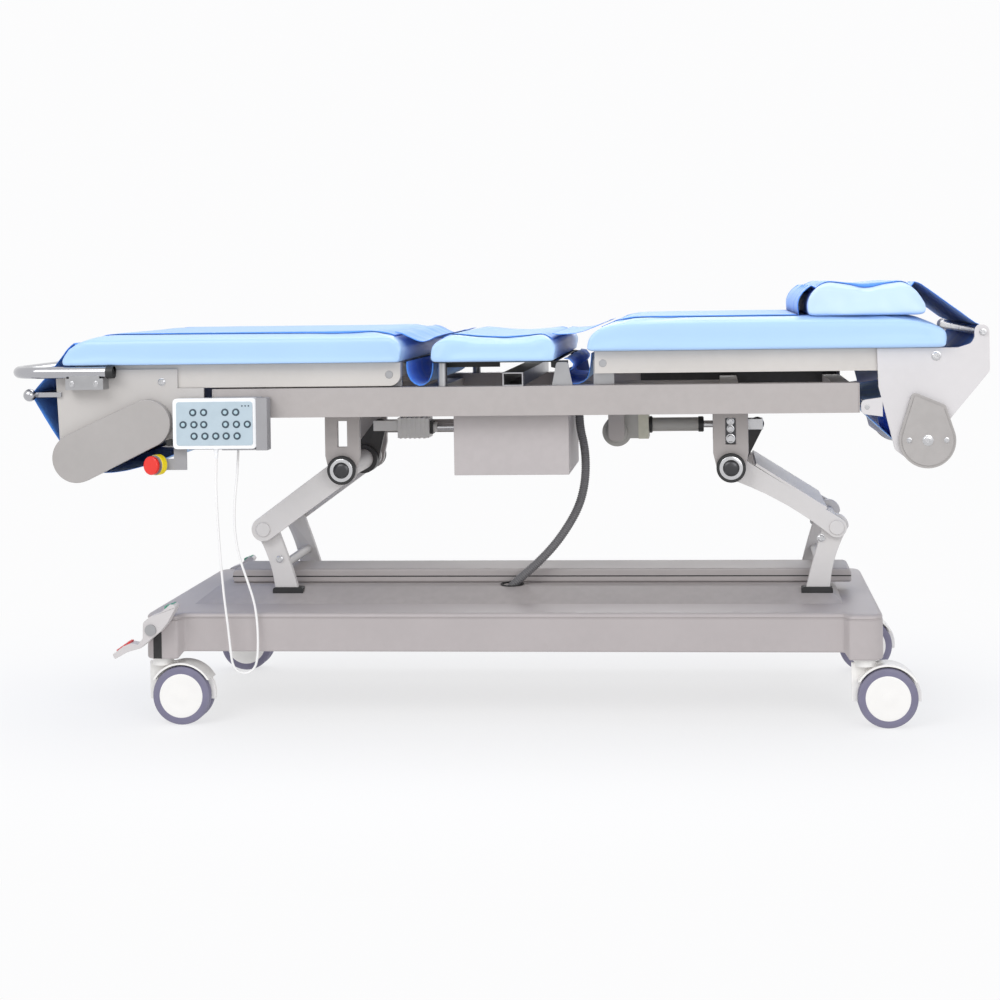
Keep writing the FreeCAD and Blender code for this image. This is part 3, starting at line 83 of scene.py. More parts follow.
# Shared effects of the finishes, as node groups
def new_group(name, inputs, outputs):
    group = bpy.data.node_groups.new(name, "ShaderNodeTree")
    for label, kind, value in inputs:
        socket = group.interface.new_socket(label, in_out="INPUT", socket_type=kind)
        socket.default_value = value
    for label, kind in outputs:
        group.interface.new_socket(label, in_out="OUTPUT", socket_type=kind)
    return group, group.nodes.new("NodeGroupInput"), group.nodes.new("NodeGroupOutput")


FLOAT, TINT = "NodeSocketFloat", "NodeSocketColor"


def feed(group, value, socket):
    """Gives a socket its value: from another socket, or as a plain number or colour."""
    if isinstance(value, bpy.types.NodeSocket):
        group.links.new(value, socket)
    else:
        socket.default_value = value


def arithmetic(group, operation, *values):
    node = group.nodes.new("ShaderNodeMath")
    node.operation = operation
    for value, socket in zip(values, node.inputs):
        feed(group, value, socket)
    return node.outputs[0]


def mixed(group, factor, first, second):
    """A colour that goes from the first to the second as the factor rises."""
    node = group.nodes.new("ShaderNodeMix")
    node.data_type = "RGBA"
    for label, value in (("Factor", factor), ("A", first), ("B", second)):
        feed(group, value, node.inputs[label])
    return node.outputs["Result"]


def group_noise(group, scale, detail, stretch=(1, 1, 1)):
    """Noise in the table's own frame."""
    place = group.nodes.new("ShaderNodeTexCoord")
    squeeze = group.nodes.new("ShaderNodeMapping")
    squeeze.inputs["Scale"].default_value = stretch
    cloud = group.nodes.new("ShaderNodeTexNoise")
    cloud.inputs["Detail"].default_value = detail
    group.links.new(place.outputs["Object"], squeeze.inputs["Vector"])
    group.links.new(squeeze.outputs["Vector"], cloud.inputs["Vector"])
    feed(group, scale, cloud.inputs["Scale"])
    return cloud.outputs["Fac"]


def group_cells(group, scale):
    """A pattern of cells in the table's own frame."""
    place = group.nodes.new("ShaderNodeTexCoord")
    cells = group.nodes.new("ShaderNodeTexVoronoi")
    group.links.new(place.outputs["Object"], cells.inputs["Vector"])
    group.links.new(scale, cells.inputs["Scale"])
    return cells


def ramp(group, low, high, source):
    """A mask that rises from 0 at low to 1 at high."""
    step = group.nodes.new("ShaderNodeMapRange")
    step.inputs["From Min"].default_value = low
    step.inputs["From Max"].default_value = high
    group.links.new(source, step.inputs["Value"])
    return step.outputs["Result"]


def mottle_group():
    """Slow changes of tone over a surface, and the roughness that goes with them."""
    group, into, out = new_group(
        "Mottle", [("Colour", TINT, (0.5, 0.5, 0.5, 1)), ("Scale", FLOAT, 6), ("Amount", FLOAT, 0.1),
                   ("Roughness", FLOAT, 0.4), ("Roughness Amount", FLOAT, 0.1)],
        [("Colour", TINT), ("Roughness", FLOAT)])
    mask = ramp(group, 0.3, 0.7, group_noise(group, into.outputs["Scale"], 5))
    centred = arithmetic(group, "SUBTRACT", mask, 0.5)
    lift = arithmetic(group, "MULTIPLY_ADD", centred, into.outputs["Amount"], 1)
    tone = group.nodes.new("ShaderNodeVectorMath")
    tone.operation = "SCALE"
    group.links.new(into.outputs["Colour"], tone.inputs[0])
    group.links.new(lift, tone.inputs["Scale"])
    group.links.new(tone.outputs["Vector"], out.inputs["Colour"])
    group.links.new(arithmetic(group, "MULTIPLY_ADD", centred, into.outputs["Roughness Amount"],
                               into.outputs["Roughness"]), out.inputs["Roughness"])
    return group


def edge_wear_group():
    """Edges that are paler from handling, and hollows that hold a little dust."""
    group, into, out = new_group(
        "Edge wear", [("Colour", TINT, (0.5, 0.5, 0.5, 1)), ("Worn Colour", TINT, (0.8, 0.8, 0.8, 1)),
                      ("Amount", FLOAT, 0.3), ("Dust", FLOAT, 0.2)],
        [("Colour", TINT), ("Mask", FLOAT)])
    shape = group.nodes.new("ShaderNodeNewGeometry")
    ridge = ramp(group, 0.52, 0.62, shape.outputs["Pointiness"])
    hollow = ramp(group, 0.49, 0.42, shape.outputs["Pointiness"])
    broken = ramp(group, 0.38, 0.62, group_noise(group, 55, 6))
    strength = arithmetic(group, "MULTIPLY", arithmetic(group, "MULTIPLY", ridge, broken),
                          into.outputs["Amount"])
    paint = mixed(group, strength, into.outputs["Colour"], into.outputs["Worn Colour"])
    dusty = arithmetic(group, "MULTIPLY", hollow, into.outputs["Dust"])
    group.links.new(mixed(group, dusty, paint, colour(104, 98, 94)), out.inputs["Colour"])
    group.links.new(strength, out.inputs["Mask"])
    return group


def paint_skin_group():
    """The fine orange peel of powder coat or of moulded plastic, as a height."""
    group, into, out = new_group("Paint skin", [("Scale", FLOAT, 500), ("Fine", FLOAT, 0.3)],
                                 [("Height", FLOAT)])
    coarse = group_noise(group, into.outputs["Scale"], 1)
    fine = group_noise(group, arithmetic(group, "MULTIPLY", into.outputs["Scale"], 3.3), 3)
    group.links.new(arithmetic(group, "MULTIPLY_ADD", fine, into.outputs["Fine"], coarse),
                    out.inputs["Height"])
    return group


def grain_group():
    """The pebbled grain of coated upholstery fabric."""
    group, into, out = new_group("Vinyl grain", [("Scale", FLOAT, 900), ("Crease", FLOAT, 0.4)],
                                 [("Height", FLOAT)])
    cells = group_cells(group, into.outputs["Scale"])
    cells.feature = "SMOOTH_F1"
    folds = group_noise(group, 26, 4, (0.35, 1, 1))
    group.links.new(arithmetic(group, "MULTIPLY_ADD", folds, into.outputs["Crease"],
                               cells.outputs["Distance"]), out.inputs["Height"])
    return group


def fibre_group():
    """The bonded dots and long fibres of a non-woven sheet."""
    group, into, out = new_group("Fibre", [("Scale", FLOAT, 420), ("Fibre Scale", FLOAT, 160)],
                                 [("Height", FLOAT), ("Mask", FLOAT)])
    dots = group_cells(group, into.outputs["Scale"])
    dots.inputs["Randomness"].default_value = 0.15
    fibres = group_noise(group, into.outputs["Fibre Scale"], 6, (1, 3, 3))
    group.links.new(arithmetic(group, "MULTIPLY_ADD", fibres, 0.7, dots.outputs["Distance"]),
                    out.inputs["Height"])
    group.links.new(ramp(group, 0.35, 0.65, fibres), out.inputs["Mask"])
    return group


MOTTLE = mottle_group()
EDGE_WEAR = edge_wear_group()
PAINT_SKIN = paint_skin_group()
GRAIN = grain_group()
FIBRE = fibre_group()


# Finishes
class Finish:
    """A material with its own shader, and calls that add the shared effects to it."""

    def __init__(self, name, base, rough, metallic=0, specular=0.5):
        self.material = bpy.data.materials.new(name)
        self.material.use_nodes = True
        self.tree = self.material.node_tree
        self.shader = self.tree.nodes["Principled BSDF"]
        self.shader.inputs["Base Color"].default_value = base
        self.shader.inputs["Roughness"].default_value = rough
        self.shader.inputs["Metallic"].default_value = metallic
        self.shader.inputs["Specular IOR Level"].default_value = specular
        self.base = base
        self.rough = rough
        self.tone = None

    def add(self, group, **values):
        node = self.tree.nodes.new("ShaderNodeGroup")
        node.node_tree = group
        for label, value in values.items():
            node.inputs[label.replace("_", " ")].default_value = value
        return node

    def join(self, source, target):
        self.tree.links.new(source, target)

    def mottled(self, scale, amount, rough_amount=0.1):
        node = self.add(MOTTLE, Colour=self.base, Scale=scale, Amount=amount,
                        Roughness=self.rough, Roughness_Amount=rough_amount)
        self.join(node.outputs["Colour"], self.shader.inputs["Base Color"])
        self.join(node.outputs["Roughness"], self.shader.inputs["Roughness"])
        self.tone = node.outputs["Colour"]
        return self

    def worn(self, amount, dust, worn_colour):
        node = self.add(EDGE_WEAR, Worn_Colour=worn_colour, Amount=amount, Dust=dust)
        self.join(self.tone, node.inputs["Colour"])
        self.join(node.outputs["Colour"], self.shader.inputs["Base Color"])
        self.tone = node.outputs["Colour"]
        return self

    def bumped(self, group, strength, distance, **values):
        node = self.add(group, **values)
        bump = self.tree.nodes.new("ShaderNodeBump")
        bump.inputs["Strength"].default_value = strength
        bump.inputs["Distance"].default_value = distance
        self.join(node.outputs["Height"], bump.inputs["Height"])
        self.join(bump.outputs["Normal"], self.shader.inputs["Normal"])
        return self

    def glossed(self, weight, rough):
        self.shader.inputs["Coat Weight"].default_value = weight
        self.shader.inputs["Coat Roughness"].default_value = rough
        return self

    def painted_glancing_sheen(self, tint, low, high):
        """Painted sheen: turns the colour to a paler tint where the surface is seen nearly edge-on.
        """
        facing = self.tree.nodes.new("ShaderNodeLayerWeight")
        facing.inputs["Blend"].default_value = 0.5
        step = ramp(self.tree, low, high, facing.outputs["Facing"])
        self.tone = mixed(self.tree, step, self.tone, tint)
        self.join(self.tone, self.shader.inputs["Base Color"])
        return self

    def fuzzed(self, weight, rough):
        self.shader.inputs["Sheen Weight"].default_value = weight
        self.shader.inputs["Sheen Roughness"].default_value = rough
        return self


def powder_coat(name, tint, rough=0.42):
    finish = Finish(name, colour(*tint), rough).mottled(5, 0.05, 0.08)
    finish.worn(0.3, 0.2, colour(*[min(255, part + 16) for part in tint]))
    return finish.bumped(PAINT_SKIN, 0.12, 0.0006, Scale=700).material


def moulded(name, tint, rough=0.5, scale=900, bump=0.15, coat=0.0):
    finish = Finish(name, colour(*tint), rough).mottled(9, 0.05, 0.1)
    finish.worn(0.2, 0.3, colour(*[min(255, part + 24) for part in tint]))
    finish.bumped(PAINT_SKIN, bump, 0.0004, Scale=scale, Fine=0.6)
    return finish.glossed(coat, 0.12).material


def bright_metal(name, tint, rough, scale=40, amount=0.06):
    finish = Finish(name, colour(*tint), rough, metallic=1).mottled(scale, amount, 0.12)
    return finish.bumped(PAINT_SKIN, 0.04, 0.0002, Scale=260).material


def upholstery(name, tint):
    finish = Finish(name, colour(*tint), 0.42).mottled(4, 0.06, 0.14)
    finish.bumped(GRAIN, 0.16, 0.0008, Scale=750, Crease=1.6)
    return finish.glossed(0.22, 0.3).fuzzed(0.08, 0.4).material


def non_woven(name, tint, painted_sheen_tint):
    finish = Finish(name, colour(*tint), 0.72, specular=0.25).mottled(22, 0.14, 0.08)
    # Painted sheen: a paler tint mixed into the colour where the sheet is seen nearly edge-on.
    finish.painted_glancing_sheen(colour(*painted_sheen_tint), 0.82, 0.97)
    return finish.bumped(FIBRE, 0.3, 0.0004, Scale=520).fuzzed(0.15, 0.5).material


def tyre(name, tint):
    finish = Finish(name, colour(*tint), 0.62).mottled(30, 0.16, 0.12)
    finish.worn(0.5, 0.5, colour(150, 148, 152))
    return finish.bumped(PAINT_SKIN, 0.3, 0.0006, Scale=420, Fine=0.8).material


FRAME_PAINT = powder_coat("frame_paint", (170, 164, 162))
SECTION_PAINT = powder_coat("section_paint", (197, 192, 187))
PLATE_PAINT = powder_coat("plate_paint", (188, 184, 181), 0.36)
HEAD_PLATE_PAINT = powder_coat("head_plate_paint", (207, 204, 205), 0.36)
ARM_PAINT = powder_coat("arm_paint", (206, 203, 202))
BOX_PAINT = powder_coat("box_paint", (178, 172, 172), 0.46)
# Dark paint for the levers, also used as the painted shade of the panel inside the far rail.
DARK_PAINT_AND_PAINTED_SHADE = powder_coat("dark_paint_and_painted_shade", (50, 49, 50), 0.5)
BASE_PLASTIC = moulded("base_plastic", (175, 168, 168), 0.46, 700, 0.12)
BASE_TOP = moulded("base_top_plastic", (169, 163, 162), 0.5, 700, 0.16)
BLACK_PLASTIC = moulded("black_plastic", (30, 30, 31), 0.48)
GREY_PLASTIC = moulded("grey_plastic", (150, 149, 152), 0.5)
UNIT_PLASTIC = moulded("unit_plastic", (120, 118, 120), 0.5)
DRIVE_WHITE = moulded("drive_white", (226, 224, 221), 0.45)
DRIVE_GREY = moulded("drive_grey", (168, 166, 162), 0.42)
GEARBOX = moulded("gearbox_beige", (196, 194, 178), 0.5)
CASTER_WHITE = moulded("caster_white", (240, 238, 235), 0.34, 900, 0.08, 0.2)
CASTER_TREAD = tyre("caster_tread", (120, 117, 140))
CONDUIT_GREY = moulded("conduit_grey", (112, 111, 113), 0.5)
CORD_WHITE = moulded("cord_white", (238, 237, 236), 0.42)
HANDSET_WHITE = moulded("handset_white", (240, 241, 243), 0.3, 900, 0.06, 0.3)
HANDSET_FACE = moulded("handset_face", (176, 192, 202), 0.34, 1200, 0.05, 0.1)
KEY_BLUE = moulded("key_blue", (54, 70, 82), 0.4)
KEY_LIGHT = moulded("key_light", (172, 196, 206), 0.4)
COVER_PLASTIC = moulded("cover_plastic", (166, 162, 160), 0.34, 900, 0.08, 0.15)
STOP_RED = moulded("stop_red", (228, 30, 12), 0.3, 900, 0.05, 0.35)
STOP_YELLOW = moulded("stop_yellow", (240, 214, 20), 0.4)
PEDAL_GREY = moulded("pedal_grey", (202, 198, 198), 0.44)
PEDAL_RED = moulded("pedal_red", (214, 60, 62), 0.5)
PEDAL_GREEN = moulded("pedal_green", (66, 146, 120), 0.5)
CHROME = bright_metal("chrome", (178, 178, 182), 0.14, 18, 0.03)
STEEL = bright_metal("turned_steel", (196, 196, 198), 0.24)
ZINC = bright_metal("zinc_steel", (170, 170, 172), 0.36)
DARK_STEEL = bright_metal("dark_steel", (74, 74, 76), 0.34)
CUSHION_VINYL = upholstery("cushion_vinyl", (168, 202, 241))
PILLOW_VINYL = upholstery("pillow_vinyl", (190, 215, 248))
# The second colour is painted sheen, the paler blue used where the sheet is seen edge-on.
SHEET_BLUE = non_woven("sheet_blue", (84, 146, 236), (156, 188, 222))


# Mesh tools
def rounded(corners, radius, steps=5):
    """The outline with an arc at each corner; radius is one number, or one for each corner."""
    count = len(corners)
    radii = radius if isinstance(radius, (list, tuple)) else [radius] * count
    outline = []
    for index, (x, z) in enumerate(corners):
        corner = Vector((x, z))
        back = (Vector(corners[index - 1]) - corner)
        ahead = (Vector(corners[(index + 1) % count]) - corner)
        turn = back.angle(ahead)
        cut_back = radii[index] / math.tan(turn / 2) if radii[index] else 0
        cut_back = min(cut_back, 0.49 * back.length, 0.49 * ahead.length)
        if cut_back < 0.05:
            outline.append((x, z))
            continue
        start, finish = corner + back.normalized() * cut_back, corner + ahead.normalized() * cut_back
        for step in range(steps + 1):
            share = step / steps
            point = start * (1 - share) ** 2 + corner * 2 * share * (1 - share) + finish * share ** 2
            outline.append((point.x, point.y))
    return outline


def ring_points(x, z, radius, start=0, finish=360, steps=32):
    """Points on a circle, in degrees from +X towards +Z."""
    return [(x + radius * math.cos(math.radians(start + (finish - start) * step / steps)),
             z + radius * math.sin(math.radians(start + (finish - start) * step / steps)))
            for step in range(steps)]


def smooth_path(points, pitch=8):
    """A soft curve through the points, in steps of about pitch."""
    path = []
    for index in range(len(points) - 1):
        before = Vector(points[max(index - 1, 0)])
        start, finish = Vector(points[index]), Vector(points[index + 1])
        after = Vector(points[min(index + 2, len(points) - 1)])
        steps = max(1, round((finish - start).length / pitch))
        for step in range(steps):
            t = step / steps
            path.append(0.5 * (2 * start + (finish - before) * t
                               + (2 * before - 5 * start + 4 * finish - after) * t ** 2
                               + (3 * start - before - 3 * finish + after) * t ** 3))
    path.append(Vector(points[-1]))
    return path


class Shape:
    """A mesh that is put together from simple forms, each with its own finish. Sizes are in mm."""

    def __init__(self):
        self.mesh = bmesh.new()
        self.materials = []

    def slot_of(self, material):
        if material not in self.materials:
            self.materials.append(material)
        return self.materials.index(material)

    def finish_faces(self, faces, material, bevel):
        """Gives new faces their material and rounds their sharp edges."""
        index = self.slot_of(material)
        for face in faces:
            face.material_index = index
        if bevel:
            edges = {edge for face in faces for edge in face.edges if len(edge.link_faces) == 2
                     and edge.calc_face_angle(0) > math.radians(38)}
            bmesh.ops.bevel(self.mesh, geom=list(edges), offset=mm(bevel), segments=2,
                            affect="EDGES", profile=0.6, clamp_overlap=True, material=index)

    def rings(self, rings, material, bevel=0):
        """Faces between rings of points, with both ends capped."""
        made = [[self.mesh.verts.new(point) for point in ring] for ring in rings]
        count = len(made[0])
        faces = []
        for low, high in zip(made, made[1:]):
            for side in range(count):
                after = (side + 1) % count
                faces.append(self.mesh.faces.new((low[side], low[after], high[after], high[side])))
        faces.append(self.mesh.faces.new(list(reversed(made[0]))))
        faces.append(self.mesh.faces.new(made[-1]))
        self.finish_faces(faces, material, bevel)
        return self

    def plate(self, outline, near, far, material, bevel=1.0):
        """A plate in the table's side plane, with its thickness from near to far in Y."""
        return self.rings([[mm(x, y, z) for x, z in outline] for y in (near, far)], material, bevel)

    def block(self, low, high, material, bevel=1.0):
        outline = [(low[0], low[2]), (high[0], low[2]), (high[0], high[2]), (low[0], high[2])]
        return self.plate(outline, low[1], high[1], material, bevel)

    def turned(self, profile, centre, axis, material, steps=32):
        """A turned piece: profile is (distance along the axis, radius) from one end to the other."""
        way = Vector(axis).normalized()
        side = way.orthogonal().normalized()
        up = way.cross(side)
        middle = mm(*centre)
        rings = []
        for along, radius in profile:
            rings.append([middle + way * mm(along)
                          + (side * math.cos(math.tau * step / steps)
                             + up * math.sin(math.tau * step / steps)) * mm(max(radius, 0.01))
                          for step in range(steps)])
        return self.rings(rings, material)

    def tube(self, path, radii, material, steps=20):
        """A round bar along a path, with a radius for each of its points."""
        points = [mm(*point) for point in path]
        side = None
        rings = []
        for index, point in enumerate(points):
            before, after = points[max(index - 1, 0)], points[min(index + 1, len(points) - 1)]
            way = (after - before).normalized()
            side = way.orthogonal() if side is None else side - way * side.dot(way)
            side.normalize()
            up = way.cross(side)
            rings.append([point + (side * math.cos(math.tau * step / steps)
                                   + up * math.sin(math.tau * step / steps)) * mm(radii[index])
                          for step in range(steps)])
        return self.rings(rings, material)

    def bolt(self, centre, axis, radius, material, high=4):
        """A pan-headed screw with a socket in its head."""
        profile = [(0, radius * 1.25), (0.6, radius * 1.25), (0.9, radius), (high - 1, radius),
                   (high, radius * 0.8), (high, radius * 0.45), (high - 1.6, radius * 0.42)]
        return self.turned(profile, centre, axis, material, 24)

    def mirrored(self):
        """Adds the same forms on the other side of the table."""
        copy = bmesh.ops.duplicate(self.mesh, geom=self.mesh.verts[:] + self.mesh.edges[:]
                                   + self.mesh.faces[:])
        points = [thing for thing in copy["geom"] if isinstance(thing, bmesh.types.BMVert)]
        faces = [thing for thing in copy["geom"] if isinstance(thing, bmesh.types.BMFace)]
        for point in points:
            point.co.y = -point.co.y
        bmesh.ops.reverse_faces(self.mesh, faces=faces)
        return self

    def piece(self, name, body, slot, replaces=(), sharp=32):
        """Makes the object, which rides on a body and takes the finishes of its forms. The slot
        argument is not used.
        """
        bmesh.ops.recalc_face_normals(self.mesh, faces=self.mesh.faces[:])
        data = bpy.data.meshes.new(name)
        self.mesh.to_mesh(data)
        self.mesh.free()
        for material in self.materials:
            data.materials.append(material)
        data.shade_smooth()
        data.set_sharp_from_angle(angle=math.radians(sharp))
        return add_piece(name, data, body, replaces)


def add_piece(name, data, body, replaces=()):
    piece = bpy.data.objects.new(name, data)
    bpy.context.scene.collection.objects.link(piece)
    if body:
        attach(piece, body)
    if replaces:
        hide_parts(*replaces)
    return piece


def dress(material, *nodes, bevel=1.2):
    """Gives carried-over nodes their finish and softens their edges."""
    for label in nodes:
        node = NODES[label]
        node.data.materials.clear()
        node.data.materials.append(material)
        if not bevel:
            continue
        weld = node.modifiers.new("Weld", "WELD")
        weld.merge_threshold = 0.00002
        flat = node.modifiers.new("Flat faces", "DECIMATE")
        flat.decimate_type = "DISSOLVE"
        flat.angle_limit = math.radians(0.6)
        soften = node.modifiers.new("Soft edges", "BEVEL")
        soften.width = mm(bevel)
        soften.segments = 2
        soften.limit_method = "ANGLE"
        soften.angle_limit = math.radians(40)
        soften.use_clamp_overlap = True
        even = node.modifiers.new("Even shading", "WEIGHTED_NORMAL")
        even.keep_sharp = False
        even.weight = 60


# Soft pieces
REMESH, PRESSURE, FRAMES = 0.0075, 4.0, 20
MOST_SWELL, GLUED_BAND = 0.007, 0.004
PAD_INSET = 7
PAD_CORNER = 15


def evaluated_copy(piece):
    graph = bpy.context.evaluated_depsgraph_get()
    return bpy.data.meshes.new_from_object(piece.evaluated_get(graph))


def inflate(piece):
    """Fills a pad as cloth under pressure, held flat where it is glued to its board."""
    remesh = piece.modifiers.new("Even mesh", "REMESH")
    remesh.mode = "VOXEL"
    remesh.voxel_size = REMESH
    old = piece.data
    piece.data = evaluated_copy(piece)
    piece.modifiers.clear()
    bpy.data.meshes.remove(old)
    low = min(vertex.co.z for vertex in piece.data.vertices)
    glued = piece.vertex_groups.new(name="glued")
    glued.add([vertex.index for vertex in piece.data.vertices if vertex.co.z < low + GLUED_BAND],
              1, "REPLACE")
    start = [vertex.co.copy() for vertex in piece.data.vertices]
    cloth = piece.modifiers.new("Cloth", "CLOTH")
    cloth.settings.quality = 4
    cloth.settings.mass = 0.3
    cloth.settings.tension_stiffness = 18
    cloth.settings.compression_stiffness = 18
    cloth.settings.bending_stiffness = 0.8
    cloth.settings.use_pressure = True
    cloth.settings.uniform_pressure_force = PRESSURE
    cloth.settings.effector_weights.gravity = 0
    cloth.settings.vertex_group_mass = "glued"
    cloth.point_cache.frame_start = 1
    cloth.point_cache.frame_end = FRAMES
    for step in range(1, FRAMES + 1):
        bpy.context.scene.frame_set(step)
    blown = evaluated_copy(piece)
    moved = [vertex.co.copy() for vertex in blown.vertices]
    bpy.data.meshes.remove(blown)
    piece.modifiers.clear()
    bpy.context.scene.frame_set(1)
    for vertex, before, after in zip(piece.data.vertices, start, moved):
        travel = after - before
        if travel.length > MOST_SWELL:
            travel = travel.normalized() * MOST_SWELL
        vertex.co = before + travel
    smooth = piece.modifiers.new("Relax", "SMOOTH")
    smooth.factor = 0.5
    smooth.iterations = 6
    fine = piece.modifiers.new("Fine", "SUBSURF")
    fine.levels = 1
    fine.render_levels = 1
    final = evaluated_copy(piece)
    old = piece.data
    piece.modifiers.clear()
    piece.vertex_groups.clear()
    piece.data = final
    bpy.data.meshes.remove(old)
    final.shade_smooth()


def cushion(name, outline, half, material, body, slot):
    """A pad cut to its outline seen from the side, a little small, then filled."""
    shape = Shape()
    end = half - PAD_INSET
    shape.plate(rounded(outline, 6, 3), -end, end, material, 0)
    ends = [edge for edge in shape.mesh.edges
            if abs(abs(edge.verts[0].co.y) - mm(end)) < 0.0001
            and abs(edge.verts[0].co.y - edge.verts[1].co.y) < 0.0001
            and max(vertex.co.z for vertex in edge.verts) > mm(min(z for x, z in outline)) + 0.003]
    bmesh.ops.bevel(shape.mesh, geom=ends, offset=mm(PAD_CORNER), segments=4, affect="EDGES",
                    profile=0.5, clamp_overlap=True)
    pad = shape.piece(name, body, slot, (name.replace("_pad", "_cushion") if name != "pillow_pad"
                                         else "pillow",))
    inflate(pad)
    return pad


LEG_OUTLINE = [(-909, 772), (-918, 780), (-914, 794), (-902, 809), (-884, 821), (-862, 828),
               (-835, 829), (-600, 829), (-300, 829), (-230, 830), (-200, 829), (-181, 820),
               (-172, 802), (-173, 784), (-180, 772)]
SEAT_OUTLINE = [(-117, 771), (-124, 784), (-124, 799), (-116, 813), (-100, 821), (-75, 821),
                (-20, 815), (35, 813), (90, 816), (128, 821), (144, 816), (151, 801), (150, 784),
                (143, 771)]
BACK_OUTLINE = [(211, 790), (204, 800), (206, 815), (215, 829), (232, 841), (258, 849),
                (300, 852), (600, 852), (872, 852), (905, 847), (938, 838), (955, 827), (960, 813),
                (957, 800), (949, 790)]
PILLOW_OUTLINE = [(669, 857), (662, 868), (663, 887), (672, 905), (688, 917), (710, 922),
                  (745, 917), (790, 914), (840, 917), (872, 921), (892, 915), (906, 902),
                  (915, 884), (919, 869), (913, 857)]


def cushions():
    """The three sections' pads and the pillow."""
    leg = cushion("leg_pad", LEG_OUTLINE, CUSHION_HALF, CUSHION_VINYL, "leg_section",
                  "cushion_vinyl")
    seat = cushion("seat_pad", SEAT_OUTLINE, CUSHION_HALF, CUSHION_VINYL, "seat_section",
                   "cushion_vinyl")
    back = cushion("back_pad", BACK_OUTLINE, CUSHION_HALF, CUSHION_VINYL, "back_section",
                   "cushion_vinyl")
    pillow = cushion("pillow_pad", PILLOW_OUTLINE, 300, PILLOW_VINYL, "back_section",
                     "pillow_vinyl")
    return leg, seat, back, pillow


def tree_of(piece):
    """A search tree over a pad's faces, in the table's frame."""
    mesh = bmesh.new()
    mesh.from_mesh(piece.data)
    tree = BVHTree.FromBMesh(mesh)
    mesh.free()
    return tree


SHEET_LIFT = 0.0014
SHEET_REACH = 0.016
SHEET_COLUMNS = 28


def sheet_strip(name, path, pads, body, half=SHEET_HALF, ripple=0.9, seed=1):
    """A strip of the disposable sheet along a path seen from the side, laid on the pads."""
    line = smooth_path(path, 9)
    trees = [tree_of(pad) for pad in pads]
    shape = bmesh.new()
    rows = []
    for index, point in enumerate(line):
        before, after = line[max(index - 1, 0)], line[min(index + 1, len(line) - 1)]
        way = (after - before).normalized()
        out = Vector((-way.y, 0, way.x))
        if out.z < 0 and abs(way.x) > 0.3:
            out = -out
        row = []
        for column in range(SHEET_COLUMNS + 1):
            y = half * (2 * column / SHEET_COLUMNS - 1)
            place = mm(point.x, y, point.y)
            wave = noise.noise(Vector((point.x * 0.011 + seed, y * 0.02, point.y * 0.011)))
            fine = noise.noise(Vector((point.x * 0.05, y * 0.045 + seed, point.y * 0.05)))
            place += out * mm(ripple * (1.6 * wave + 0.6 * fine))
            for tree in trees:
                hit = tree.ray_cast(Vector((place.x, place.y, 1.2)), Vector((0, 0, -1)))[0]
                if hit and abs(hit.z - place.z) < SHEET_REACH:
                    place.z = hit.z + SHEET_LIFT + max(0, mm(0.5 * wave))
            row.append(shape.verts.new(place))
        rows.append(row)
    for low, high in zip(rows, rows[1:]):
        for column in range(SHEET_COLUMNS):
            shape.faces.new((low[column], low[column + 1], high[column + 1], high[column]))
    bmesh.ops.recalc_face_normals(shape, faces=shape.faces[:])
    data = bpy.data.meshes.new(name)
    shape.to_mesh(data)
    shape.free()
    data.materials.append(SHEET_BLUE)
    data.shade_smooth()
    strip = add_piece(name, data, body)
    thick = strip.modifiers.new("Thickness", "SOLIDIFY")
    thick.thickness = mm(0.9)
    thick.offset = 1
    return strip


HEAD_SHEET = [(877, 565.5), (828, 612.5), (779.5, 659.3), (776, 668), (779.5, 676), (789, 680.5),
              (830, 684), (870, 692), (910, 705), (945, 724), (966, 746), (988, 768), (1008, 787),
              (1026, 805.5), (1036, 818), (1034, 829.5), (1025, 834), (1014, 838.5), (975, 868),
              (935, 898), (912, 915), (898, 923), (872, 927), (800, 922), (745, 923), (706, 928),
              (688, 925), (670, 914), (657, 900), (651, 885), (651, 870), (653, 860.5),
              (640, 857.8), (560, 857.5), (400, 857.5), (300, 857), (262, 853), (240, 846)]
HEAD_GAP_SHEET = [(240, 846), (221, 838), (204, 831.5), (186, 827), (168, 825), (150, 824.5),
                  (135, 826)]
SEAT_SHEET = [(135, 826), (90, 822), (35, 819), (-20, 821), (-75, 827), (-100, 827)]
LEG_GAP_SHEET = [(-100, 827), (-114, 823), (-127, 816.5), (-141, 813), (-156, 816.5), (-172, 824),
                 (-186, 831), (-200, 834.5)]
LEG_SHEET = [(-200, 834.5), (-230, 835.5), (-300, 834.5), (-600, 834.5), (-835, 834.5),
             (-862, 833), (-886, 827), (-906, 814), (-919, 800), (-930, 785), (-960, 748),
             (-989, 716.5), (-994, 710), (-992, 704), (-960, 651), (-916, 578), (-911, 560),
             (-900, 547), (-884, 543), (-868, 541.5), (-820, 540), (-765, 549), (-705, 570),
             (-652, 592.6)]
FOOT_FLAP = [(-173, 771.5), (-173, 752), (-165, 734), (-148, 723), (-132, 729), (-123, 746),
             (-120, 768.5)]
HEAD_FLAP = [(158, 774), (170, 772), (178, 762), (173, 749), (157, 743), (144, 735), (146, 724),
             (166, 720.5), (190, 721), (206, 731), (213, 752), (217, 784)]


